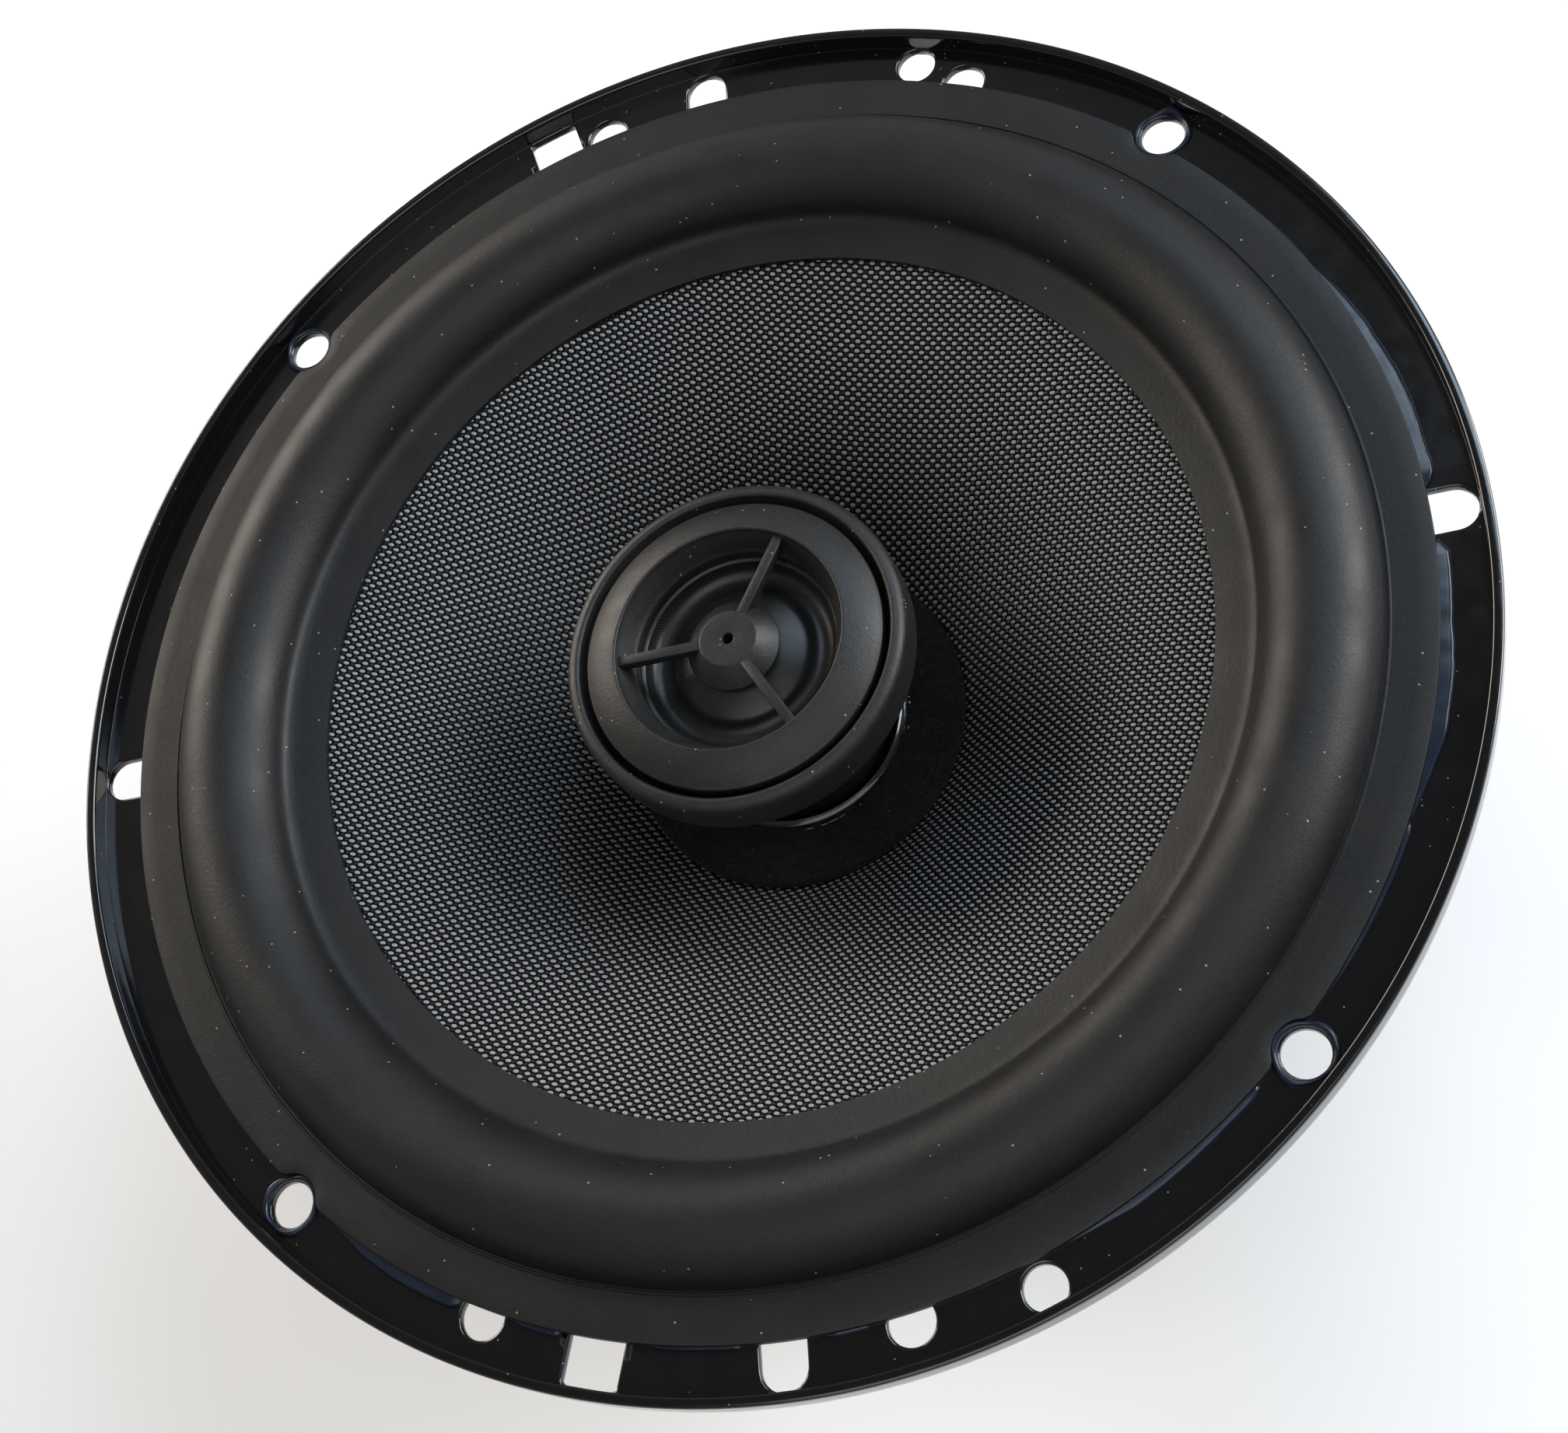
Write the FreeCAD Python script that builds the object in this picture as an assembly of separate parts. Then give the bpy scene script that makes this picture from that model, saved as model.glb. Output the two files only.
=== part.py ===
"""Coaxial car speaker, nominal 165 mm (6.5 inch).

Millimetres. +Z runs along the speaker axis towards the listener. The origin is the
centre of the screw-hole circle, on the rear (mounting) face of the flange. Angles are
seen from the front, anticlockwise from +X, and +X points at one of the U-shaped slots.
"""
import FreeCAD
import Part

import math
import os

V = FreeCAD.Vector
ORIGIN = V(0, 0, 0)
AXIS = V(0, 0, 1)

# Driving dimensions: basket and flange
RIM_R = 82.5                 # outside of the raised rim
SHEET_T = 1.2                # pressed sheet of the basket
RIM_HEIGHT = 3.7             # top of the rim above the mounting face
FLANGE_FRONT = SHEET_T       # front face of the flange
CUTOUT_R = 71.6              # outside of the basket behind the flange
SHOULDER_Z = -8.5
SHOULDER_R = 66.0
LANDING_Z = -31.5            # ring that the spider is glued to
LANDING_R = 41.8
LANDING_INNER_R = 36.6
FLOOR_Z = -38.5              # inside of the basket floor
FLOOR_R = 34.6
FLOOR_HOLE_R = 14.2
WINDOW_COUNT = 6
WINDOW_INNER_R = 47.5
WINDOW_OUTER_R = 64.5
STRUT_WIDTH = 10.0
WINDOW_CORNER_R = 4.0
WALL_LEAN = 1.0              # how far the sheet's outer face leans past its inner one

# Openings in the flange
SCREW_CIRCLE_R = 77.75
SCREW_HOLE_R = 2.5
SCREW_ANGLES = (45, 135, 225, 315)
SLOT_ANGLES = (0, 90, 180, 270)
SLOT_HALF_WIDTH = 2.5
SLOT_R = (74.8, 78.6)        # radii of the centres of the slot's two round ends
KEY_ANGLES = (105, 255)      # rectangular keyways
KEY_WIDTH = 6.2
KEY_R = (75.0, 81.1)
LUG_ANGLES = (70, 290)       # small clip holes near the rim
LUG_R = 78.9
LUG_HOLE_R = 2.3
SPARE_ANGLES = (65, 100, 245, 280)   # holes that the surround partly covers
SPARE_R = 76.9
SPARE_HOLE_R = 2.5

# Surround and cone
SURROUND_T = 0.8
SURROUND_OUTER_R = 76.2
ROLL_R = (57.6, 70.7)        # inner and outer foot of the half roll
ROLL_CREST = (64.2, 6.65)
SURROUND_INNER_R = 52.8
LIP_T = 0.6                  # surround's inner lip, glued on the cone's rim
NOTCH_R = 3.3                # bites out of the surround round the screw holes
CONE_T = 0.5
CONE_OUTER_R = 57.4
CONE_OUTER_Z = -0.1
CONE_NECK_R = 12.95
CONE_NECK_Z = -27.2
CONE_BULGE = 3.7             # height of the flared profile above its chord
DUST_RING_R = 20.8
DUST_RING_T = 0.8

# Voice coil and spider
FORMER_R = (12.6, 12.85)
FORMER_Z = (-46.8, -19.8)
WINDING_R = 13.35
WINDING_Z = (-46.45, -37.45)
SPIDER_R = 41.0
SPIDER_T = 0.5
SPIDER_WAVES_R = (16.4, 36.4)
SPIDER_HALF_WAVES = 10
SPIDER_AMPLITUDE = 1.0

# Magnet system
TOP_PLATE_T = 4.5
TOP_PLATE_R = 42.0
GAP_R = 13.8
MAGNET_T = 14.0
MAGNET_R = (22.5, 45.0)
MAGNET_CHAMFER = 0.8
BACK_PLATE_T = 4.5
BACK_PLATE_R = 40.0
BACK_PLATE_CHAMFER = 1.0
POLE_R = 12.2
POLE_TOP_Z = -38.5
BASKET_RIVET_CIRCLE_R = 28.0
BASKET_RIVET_COUNT = 4
RIVET_R = 2.0
RIVET_HEAD_R = 3.4
RIVET_HEAD_T = 1.0

# Post that carries the tweeter
POST_R = (2.5, 4.0)
POST_TOP_Z = -9.8
POST_FLANGE_R = 8.0
POST_FLANGE_Z = (-12.7, -11.2)
SLEEVE_R = (9.4, 11.2)
SLEEVE_CAP_T = 1.5
POST_TAIL = 0.4              # thread that shows below the nut
NUT_ACROSS_FLATS = 12.0
NUT_T = 2.4
NUT_POCKET_R = 8.0
NUT_POCKET_DEPTH = 5.0

# Tweeter
HOUSING_R = 20.0
HOUSING_TOP_Z = 4.25
HOUSING_EDGE_Z = -0.8        # sharp lower edge of the housing's wide band
HOUSING_FLOOR_Z = -8.2       # inside of the housing floor
HOUSING_BASE_Z = -11.2
HOUSING_BASE_R = 13.5
HOUSING_SIDE_TOP_Z = 3.0     # where the bezel starts to round over
HOUSING_BEZEL_MIDDLE = (19.72, 3.85)
HOUSING_BEZEL_TOP_R = 19.0
HOUSING_BELLY = ((16.4, -6.6), (18.1, HOUSING_EDGE_Z))   # curved underside: middle and end
HOUSING_LEDGE_Z = 4.05       # inner rim of the bezel
BEZEL_INNER_R = 18.25
GRILLE_R = 17.45
GRILLE_EDGE_Z = 4.0
GRILLE_CREST = (13.35, 5.9)
GRILLE_BORE_R = (11.8, 13.3)
GRILLE_BACK_Z = 1.5
GRILLE_FACE_BULGE = 0.35
GRILLE_BORE_DROP = 0.15      # small step down from the crest to the bore
ARM_ANGLES = (60, 180, 300)
ARM_WIDTH = 1.2
ARM_Z = (4.0, 5.4)
PLUG_TOP_R = 3.2
PLUG_BASE_R = 5.4
PLUG_Z = (3.1, 5.5)
PLUG_HOLE_R = 0.65
PLUG_FOOT_T = 0.35           # straight edge at the plug's base
ARM_OVERLAP = 0.6            # how far the arms run into the plug
CUP_R = (8.9, 11.0)
CUP_TOP_Z = -1.6
CUP_FLOOR_T = 1.8
SLUG_R = 6.9
SLUG_T = 2.9
SLUG_PLATE_R = 7.5
SLUG_PLATE_T = 1.8
RING_R = (11.3, 13.1)        # plastic ring under the diaphragm's rim
DOME_R = 8.0
DOME_BASE_Z = 0.7
DOME_RISE = 1.7
DOME_T = 0.25
ROLL_DIP = 1.5               # depth of the diaphragm's concave roll
TWEETER_FORMER_R = (7.85, 8.0)
TWEETER_FORMER_BOTTOM_Z = -4.2
TWEETER_WINDING_R = 8.35
TWEETER_WINDING_Z = (-4.0, -1.4)

# Terminals, capacitor and wires, on the -X side
TAB_HALF_WIDTH = 4.0
TAB_END_X = -58.0
BOARD_X = (-62.0, -45.5)
BOARD_HALF_WIDTH = 13.0
BOARD_T = 1.6
BOARD_CORNER_R = 2.0
BLADE_Y = 7.5
BLADE_X = (-67.5, -47.0)
BLADE_T = 0.8
BLADE_WIDTH_POSITIVE = 4.8
BLADE_WIDTH_NEGATIVE = 2.8
BLADE_ROOT_HALF_WIDTH = 2.6
BLADE_ROOT_X = -58.0         # where the wide root ends
BLADE_BEVEL = (1.5, 0.8)     # length and depth of the bevelled tip
BLADE_RIVET_X = -55.0
BOARD_RIVET_X = -52.0
SMALL_RIVET_R = 1.1
SMALL_RIVET_HEAD_R = 1.9
SMALL_RIVET_HEAD_T = 0.5
CAPACITOR_R = 4.0
CAPACITOR_X = (-60.0, -48.0)
CAPACITOR_Y = 8.4
LEAD_WIRE_R = 0.35
LEAD_OVERHANG = 1.4
CAPACITOR_EDGE_R = 0.6
TINSEL_R = 0.45
TINSEL_BEND_R = 3.0
TINSEL_FORMER_Z = -28.7      # where the leads meet the voice-coil former
TINSEL_STOPS = ((-49.5, -20.0), (-39.0, -16.5), (-27.0, -24.0), (-19.0, TINSEL_FORMER_Z))
TWEETER_WIRE_R = 0.5
TWEETER_WIRE_OFFSET = 0.75
TWEETER_WIRE_ANGLE = 190
WIRE_DROP_R = 1.1            # the wires' distance from the axis inside the post
WIRE_LEDGE_DROP = 0.7        # the wires' depth in the housing's floor slot
WIRE_MAGNET_GAP = 1.0        # from the magnet's side to the wires' centre line
WIRE_PLATE_GAP = 2.5         # the same beside the basket floor
WIRE_RISE_INSET = 3.0        # where the wires leave the groove
GROOVE_HALF_WIDTH = 2.0
GROOVE_DEPTH = 1.8
WIRE_SLOT_HALF_WIDTH = 1.6   # slots for the two wires inside the tweeter
HOUSING_SLOT_DEPTH = 1.3
RING_SLOT_DEPTH = 1.0
WIRE_BEND_R = 0.9

# Levels that follow from the stack
TOP_PLATE_Z = FLOOR_Z - SHEET_T
MAGNET_Z = TOP_PLATE_Z - TOP_PLATE_T
BACK_PLATE_Z = MAGNET_Z - MAGNET_T
BACK_Z = BACK_PLATE_Z - BACK_PLATE_T
BOARD_Z = LANDING_Z
BLADE_Z = BOARD_Z + BOARD_T
RING_Z = (CUP_TOP_Z, GRILLE_BACK_Z - DOME_T)
CUP_FLOOR_Z = HOUSING_FLOOR_Z + CUP_FLOOR_T
SLUG_PLATE_Z = CUP_FLOOR_Z + SLUG_T

CUT_MARGIN = 1.0             # how far a cutting tool runs past what it cuts


def outline(points):
    """Face in the XZ half-plane. A point is (r, z); a pair of points is an arc's middle and end."""
    edges = []
    here = V(points[0][0], 0, points[0][1])
    for step in list(points[1:]) + [points[0]]:
        if isinstance(step[0], tuple):
            middle = V(step[0][0], 0, step[0][1])
            there = V(step[1][0], 0, step[1][1])
            edges.append(Part.Arc(here, middle, there).toShape())
        else:
            there = V(step[0], 0, step[1])
            if here.distanceToPoint(there) < 1e-6:
                continue
            edges.append(Part.LineSegment(here, there).toShape())
        here = there
    return Part.Face(Part.Wire(edges))


def revolved(points):
    return outline(points).revolve(ORIGIN, AXIS, 360)


def ring(inner_r, outer_r, low_z, high_z):
    """Plain tube or washer round the speaker axis."""
    body = Part.makeCylinder(outer_r, high_z - low_z, V(0, 0, low_z))
    if inner_r > 0:
        depth = high_z - low_z + 2 * CUT_MARGIN
        body = body.cut(Part.makeCylinder(inner_r, depth, V(0, 0, low_z - CUT_MARGIN)))
    return body


def box(x_range, y_range, z_range):
    size = [high - low for low, high in (x_range, y_range, z_range)]
    return Part.makeBox(*size, V(x_range[0], y_range[0], z_range[0]))


def turned(shape, degrees):
    copy = shape.copy()
    copy.rotate(ORIGIN, AXIS, degrees)
    return copy


def at_angle(radius, degrees, z):
    angle = math.radians(degrees)
    return V(radius * math.cos(angle), radius * math.sin(angle), z)


def bowed(start, end, bulge):
    """Middle point of the arc from start to end that stands bulge above its chord."""
    across = (end[0] - start[0], end[1] - start[1])
    length = math.hypot(*across)
    normal = (-across[1] / length, across[0] / length)
    middle = ((start[0] + end[0]) / 2, (start[1] + end[1]) / 2)
    return (middle[0] + bulge * normal[0], middle[1] + bulge * normal[1])


def cone_top(radius):
    """Point of the cone's front surface at a radius: both lie on one circular arc."""
    across = (CONE_OUTER_R - CONE_NECK_R, CONE_OUTER_Z - CONE_NECK_Z)
    chord = math.hypot(*across)
    arc_r = (chord ** 2 / 4 + CONE_BULGE ** 2) / (2 * CONE_BULGE)
    crest = bowed((CONE_NECK_R, CONE_NECK_Z), (CONE_OUTER_R, CONE_OUTER_Z), CONE_BULGE)
    centre = (crest[0] + arc_r * across[1] / chord, crest[1] - arc_r * across[0] / chord)
    return (radius, centre[1] + math.sqrt(arc_r ** 2 - (radius - centre[0]) ** 2))


def lowered(point, drop):
    return (point[0], point[1] - drop)


def rounded_tube(points, bend_r, tube_r):
    """Round wire along straight runs joined by tangent arcs."""
    edges = []
    here = points[0]
    for before, corner, after in zip(points, points[1:], points[2:]):
        back = (before - corner).normalize()
        ahead = (after - corner).normalize()
        half_angle = back.getAngle(ahead) / 2
        reach = bend_r / math.tan(half_angle)
        start = corner + back * reach
        end = corner + ahead * reach
        bisector = (back + ahead).normalize()
        centre = corner + bisector * (bend_r / math.sin(half_angle))
        edges.append(Part.LineSegment(here, start).toShape())
        edges.append(Part.Arc(start, centre - bisector * bend_r, end).toShape())
        here = end
    edges.append(Part.LineSegment(here, points[-1]).toShape())
    direction = points[1] - points[0]
    section = Part.Wire(Part.makeCircle(tube_r, points[0], direction))
    return Part.Wire(edges).makePipeShell([section], True, False)


def rivet(centre, low_z, high_z, shank_r, head_r, head_t):
    """Rivet whose two flat heads lie outside low_z and high_z."""
    shank = Part.makeCylinder(shank_r, high_z - low_z, V(centre.x, centre.y, low_z))
    top = Part.makeCylinder(head_r, head_t, V(centre.x, centre.y, high_z))
    bottom = Part.makeCylinder(head_r, head_t, V(centre.x, centre.y, low_z - head_t))
    return shank.fuse([top, bottom]).removeSplitter()


def radial_slot(half_width, inner_r, outer_r, low_z, high_z):
    """Cutter for a slot along +X with two round ends, given by the ends' centres."""
    height = high_z - low_z
    bar = box((inner_r, outer_r), (-half_width, half_width), (low_z, high_z))
    ends = [Part.makeCylinder(half_width, height, V(r, 0, low_z)) for r in (inner_r, outer_r)]
    return bar.fuse(ends)


def flange_cutters():
    low_z = -CUT_MARGIN
    high_z = FLANGE_FRONT + CUT_MARGIN
    height = high_z - low_z
    slot = radial_slot(SLOT_HALF_WIDTH, SLOT_R[0], SLOT_R[1], low_z, high_z)
    key = box(KEY_R, (-KEY_WIDTH / 2, KEY_WIDTH / 2), (low_z, high_z))
    cutters = [turned(slot, angle) for angle in SLOT_ANGLES]
    cutters += [turned(key, angle) for angle in KEY_ANGLES]
    holes = (
        (SCREW_ANGLES, SCREW_CIRCLE_R, SCREW_HOLE_R),
        (LUG_ANGLES, LUG_R, LUG_HOLE_R),
        (SPARE_ANGLES, SPARE_R, SPARE_HOLE_R),
    )
    for angles, circle_r, hole_r in holes:
        for angle in angles:
            cutters.append(Part.makeCylinder(hole_r, height, at_angle(circle_r, angle, low_z)))
    return cutters


def window_cutters():
    """Openings between the struts, with round corners, cut straight along Z."""
    low_z = LANDING_Z
    high_z = SHOULDER_Z + CUT_MARGIN
    blank = ring(WINDOW_INNER_R, WINDOW_OUTER_R, low_z, high_z)
    pitch = 360 / WINDOW_COUNT
    bar = box((0, RIM_R), (-STRUT_WIDTH / 2, STRUT_WIDTH / 2), (low_z, high_z))
    bars = [turned(bar, pitch * (index + 0.5)) for index in range(WINDOW_COUNT)]
    cutters = []
    for window in blank.cut(bars).Solids:
        upright = [edge for edge in window.Edges
                   if edge.BoundBox.XLength < 1e-6 and edge.BoundBox.YLength < 1e-6]
        corners = [edge for edge in upright if edge.BoundBox.ZLength > 0]
        cutters.append(window.makeFillet(WINDOW_CORNER_R, corners))
    return cutters


def basket():
    """Pressed sheet basket: rim, flange, shoulder, strutted wall, spider landing and floor."""
    inner_rim_r = RIM_R - SHEET_T
    rim_side_z = RIM_HEIGHT - SHEET_T / 2
    profile = [
        (FLOOR_HOLE_R, FLOOR_Z),
        (FLOOR_HOLE_R, FLOOR_Z - SHEET_T),
        (FLOOR_R + WALL_LEAN, FLOOR_Z - SHEET_T),
        (LANDING_INNER_R + WALL_LEAN, LANDING_Z - SHEET_T),
        (LANDING_R + WALL_LEAN, LANDING_Z - SHEET_T),
        (LANDING_R + 3 * WALL_LEAN, LANDING_Z + SHEET_T),
        (SHOULDER_R + WALL_LEAN, SHOULDER_Z - SHEET_T),
        (CUTOUT_R - WALL_LEAN, SHOULDER_Z + SHEET_T / 2),
        (CUTOUT_R, 0),
        (RIM_R, 0),
        (RIM_R, rim_side_z),
        ((RIM_R - SHEET_T / 2, RIM_HEIGHT), (inner_rim_r, rim_side_z)),
        (inner_rim_r, FLANGE_FRONT),
        (CUTOUT_R - SHEET_T, FLANGE_FRONT),
        (CUTOUT_R - SHEET_T - WALL_LEAN, SHOULDER_Z + SHEET_T),
        (SHOULDER_R, SHOULDER_Z),
        (LANDING_R + 2 * WALL_LEAN, LANDING_Z + 2 * SHEET_T),
        (LANDING_R, LANDING_Z),
        (LANDING_INNER_R, LANDING_Z),
        (FLOOR_R, FLOOR_Z),
    ]
    tab = box((TAB_END_X, -LANDING_R), (-TAB_HALF_WIDTH, TAB_HALF_WIDTH),
              (LANDING_Z - SHEET_T, LANDING_Z))
    shell = revolved(profile).fuse(tab).cut(flange_cutters() + window_cutters())
    rivet_depth = 2 * SHEET_T + 2 * CUT_MARGIN
    holes = [Part.makeCylinder(RIVET_R, rivet_depth, centre - AXIS * rivet_depth)
             for centre in basket_rivet_centres(FLOOR_Z + CUT_MARGIN)]
    board_hole_z = LANDING_Z - SHEET_T - CUT_MARGIN
    holes.append(Part.makeCylinder(SMALL_RIVET_R, rivet_depth, V(BOARD_RIVET_X, 0, board_hole_z)))
    return shell.cut(holes).removeSplitter()


def basket_rivet_centres(z):
    step = 360 / BASKET_RIVET_COUNT
    return [at_angle(BASKET_RIVET_CIRCLE_R, step * (index + 0.5), z)
            for index in range(BASKET_RIVET_COUNT)]


def basket_rivets():
    """Rivets closed over the basket floor, with shanks swaged into the top plate."""
    rivets = []
    for centre in basket_rivet_centres(0):
        shank = Part.makeCylinder(RIVET_R, FLOOR_Z - MAGNET_Z, V(centre.x, centre.y, MAGNET_Z))
        head = Part.makeCylinder(RIVET_HEAD_R, RIVET_HEAD_T, V(centre.x, centre.y, FLOOR_Z))
        rivets.append(shank.fuse(head).removeSplitter())
    return Part.makeCompound(rivets)


def top_plate():
    plate = ring(GAP_R, TOP_PLATE_R, MAGNET_Z, TOP_PLATE_Z)
    depth = TOP_PLATE_T + 2 * CUT_MARGIN
    holes = [Part.makeCylinder(RIVET_R, depth, centre)
             for centre in basket_rivet_centres(MAGNET_Z - CUT_MARGIN)]
    return plate.cut(holes)


def ferrite_magnet():
    magnet = ring(MAGNET_R[0], MAGNET_R[1], BACK_PLATE_Z, MAGNET_Z)
    outer_edges = [edge for edge in magnet.Edges if edge.BoundBox.XLength > 2 * MAGNET_R[1] - 1
                   and edge.BoundBox.ZLength < 1e-6]
    return magnet.makeChamfer(MAGNET_CHAMFER, outer_edges)


def pole_yoke():
    """Back plate and pole in one piece, bored for the post, with the nut pocket and wire groove."""
    body = revolved([
        (POST_R[1], BACK_Z),
        (BACK_PLATE_R - BACK_PLATE_CHAMFER, BACK_Z),
        (BACK_PLATE_R, BACK_Z + BACK_PLATE_CHAMFER),
        (BACK_PLATE_R, BACK_PLATE_Z),
        (POLE_R, BACK_PLATE_Z),
        (POLE_R, POLE_TOP_Z),
        (POST_R[1], POLE_TOP_Z),
    ])
    pocket = Part.makeCylinder(NUT_POCKET_R, NUT_POCKET_DEPTH + CUT_MARGIN,
                               V(0, 0, BACK_Z - CUT_MARGIN))
    groove = box((0, BACK_PLATE_R + CUT_MARGIN), (-GROOVE_HALF_WIDTH, GROOVE_HALF_WIDTH),
                 (BACK_Z - CUT_MARGIN, BACK_Z + GROOVE_DEPTH))
    return body.cut([pocket, turned(groove, TWEETER_WIRE_ANGLE)])


def surround():
    """Rubber half roll with a flat outer lip, notched round the screws, and a glued inner lip."""
    lip_top = FLANGE_FRONT + SURROUND_T
    inner_crest = (ROLL_CREST[0], ROLL_CREST[1] - SURROUND_T)
    lip_middle_r = (SURROUND_INNER_R + CONE_OUTER_R) / 2
    profile = [
        (SURROUND_OUTER_R, FLANGE_FRONT),
        (SURROUND_OUTER_R, lip_top),
        (ROLL_R[1], lip_top),
        (ROLL_CREST, lowered(cone_top(ROLL_R[0]), -LIP_T)),
        (lowered(cone_top(lip_middle_r), -LIP_T), lowered(cone_top(SURROUND_INNER_R), -LIP_T)),
        cone_top(SURROUND_INNER_R),
        (cone_top(lip_middle_r), cone_top(CONE_OUTER_R)),
        cone_top(ROLL_R[0] + SURROUND_T),
        (inner_crest, (ROLL_R[1] - SURROUND_T, FLANGE_FRONT)),
    ]
    notches = [Part.makeCylinder(NOTCH_R, 2 * CUT_MARGIN + SURROUND_T,
                                 at_angle(SCREW_CIRCLE_R, angle, FLANGE_FRONT - CUT_MARGIN))
               for angle in SCREW_ANGLES]
    return revolved(profile).cut(notches)


def cone():
    neck = (CONE_NECK_R, CONE_NECK_Z)
    rim = (CONE_OUTER_R, CONE_OUTER_Z)
    low_neck = lowered(neck, CONE_T)
    low_rim = lowered(rim, CONE_T)
    return revolved([
        neck,
        (bowed(neck, rim, CONE_BULGE), rim),
        low_rim,
        (bowed(low_rim, low_neck, -CONE_BULGE), low_neck),
    ])


def dust_ring():
    low_z = cone_top(DUST_RING_R)[1]
    return ring(FORMER_R[1], DUST_RING_R, low_z, low_z + DUST_RING_T)


def spider():
    """Corrugated cloth disc between the voice-coil former and the basket's landing."""
    middle_z = LANDING_Z + SPIDER_T
    width = (SPIDER_WAVES_R[1] - SPIDER_WAVES_R[0]) / SPIDER_HALF_WAVES

    def waves(level):
        steps = []
        for index in range(SPIDER_HALF_WAVES):
            side = 1 if index % 2 else -1
            start = SPIDER_WAVES_R[0] + index * width
            crest = (start + width / 2, level + side * SPIDER_AMPLITUDE)
            steps.append((crest, (start + width, level)))
        return steps

    upper = waves(middle_z)
    lower = waves(middle_z - SPIDER_T)
    ends = [(SPIDER_WAVES_R[0], middle_z - SPIDER_T)] + [step[1] for step in lower]
    back = [(step[0], ends[index]) for index, step in enumerate(lower)]
    profile = [(FORMER_R[1], middle_z), (SPIDER_WAVES_R[0], middle_z)]
    profile += upper
    profile += [(SPIDER_R, middle_z), (SPIDER_R, middle_z - SPIDER_T), ends[-1]]
    profile += list(reversed(back))
    profile += [(FORMER_R[1], middle_z - SPIDER_T)]
    return revolved(profile)


def tweeter_post():
    """Hollow stud: flange under the housing, spigot inside it, tail through the pole."""
    tail_z = BACK_Z + NUT_POCKET_DEPTH - NUT_T - POST_TAIL
    stud = ring(POST_R[0], POST_R[1], tail_z, POST_TOP_Z)
    flange = ring(POST_R[0], POST_FLANGE_R, POST_FLANGE_Z[0], POST_FLANGE_Z[1])
    return stud.fuse(flange).removeSplitter()


def post_sleeve():
    """Plastic sleeve that hides the post between the pole and the housing."""
    tube = ring(SLEEVE_R[0], SLEEVE_R[1], POLE_TOP_Z, HOUSING_BASE_Z)
    cap = ring(POST_R[1], SLEEVE_R[1], POST_FLANGE_Z[0] - SLEEVE_CAP_T, POST_FLANGE_Z[0])
    foot = ring(POST_R[1], SLEEVE_R[1], POLE_TOP_Z, POLE_TOP_Z + SLEEVE_CAP_T)
    return tube.fuse([cap, foot]).removeSplitter()


def post_nut():
    top_z = BACK_Z + NUT_POCKET_DEPTH
    corner_r = NUT_ACROSS_FLATS / math.sqrt(3)
    corners = [at_angle(corner_r, 60 * index, top_z - NUT_T) for index in range(7)]
    prism = Part.Face(Part.makePolygon(corners)).extrude(AXIS * NUT_T)
    return prism.cut(Part.makeCylinder(POST_R[1], NUT_T, V(0, 0, top_z - NUT_T)))


def tweeter_housing():
    """Round shell with a rolled bezel, a ledge for the grille and a floor on the post."""
    shell = revolved([
        (POST_R[1], HOUSING_BASE_Z),
        (HOUSING_BASE_R, HOUSING_BASE_Z),
        HOUSING_BELLY,
        (HOUSING_R, HOUSING_EDGE_Z),
        (HOUSING_R, HOUSING_SIDE_TOP_Z),
        (HOUSING_BEZEL_MIDDLE, (HOUSING_BEZEL_TOP_R, HOUSING_TOP_Z)),
        (BEZEL_INNER_R, HOUSING_LEDGE_Z),
        (BEZEL_INNER_R, GRILLE_BACK_Z),
        (RING_R[1], GRILLE_BACK_Z),
        (RING_R[1], HOUSING_FLOOR_Z),
        (POST_R[1], HOUSING_FLOOR_Z),
    ])
    wire_slot = box((0, RING_R[1]), (-WIRE_SLOT_HALF_WIDTH, WIRE_SLOT_HALF_WIDTH),
                    (HOUSING_FLOOR_Z - HOUSING_SLOT_DEPTH, HOUSING_FLOOR_Z))
    return shell.cut(turned(wire_slot, TWEETER_WIRE_ANGLE))


def tweeter_grille():
    """Convex face ring with three arms that hold the phase plug, moulded in one piece."""
    face = revolved([
        (GRILLE_BORE_R[0], GRILLE_BACK_Z),
        (GRILLE_R, GRILLE_BACK_Z),
        (GRILLE_R, GRILLE_EDGE_Z),
        (bowed((GRILLE_R, GRILLE_EDGE_Z), GRILLE_CREST, -GRILLE_FACE_BULGE),
         GRILLE_CREST),
        (GRILLE_BORE_R[1], GRILLE_CREST[1] - GRILLE_BORE_DROP),
    ])
    plug = revolved([
        (PLUG_HOLE_R, PLUG_Z[0]),
        (PLUG_BASE_R, PLUG_Z[0]),
        (PLUG_BASE_R, PLUG_Z[0] + PLUG_FOOT_T),
        (PLUG_TOP_R, PLUG_Z[1]),
        (PLUG_HOLE_R, PLUG_Z[1]),
    ])
    arm = box((PLUG_TOP_R - ARM_OVERLAP, GRILLE_BORE_R[1]), (-ARM_WIDTH / 2, ARM_WIDTH / 2), ARM_Z)
    arms = [turned(arm, angle) for angle in ARM_ANGLES]
    return face.fuse([plug] + arms).removeSplitter()


def tweeter_cup():
    cup = ring(0, CUP_R[1], HOUSING_FLOOR_Z, CUP_TOP_Z)
    return cup.cut(Part.makeCylinder(CUP_R[0], CUP_TOP_Z - CUP_FLOOR_Z + CUT_MARGIN,
                                     V(0, 0, CUP_FLOOR_Z)))


def tweeter_magnet():
    return ring(0, SLUG_R, CUP_FLOOR_Z, SLUG_PLATE_Z)


def tweeter_pole_piece():
    return ring(0, SLUG_PLATE_R, SLUG_PLATE_Z, SLUG_PLATE_Z + SLUG_PLATE_T)


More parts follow.
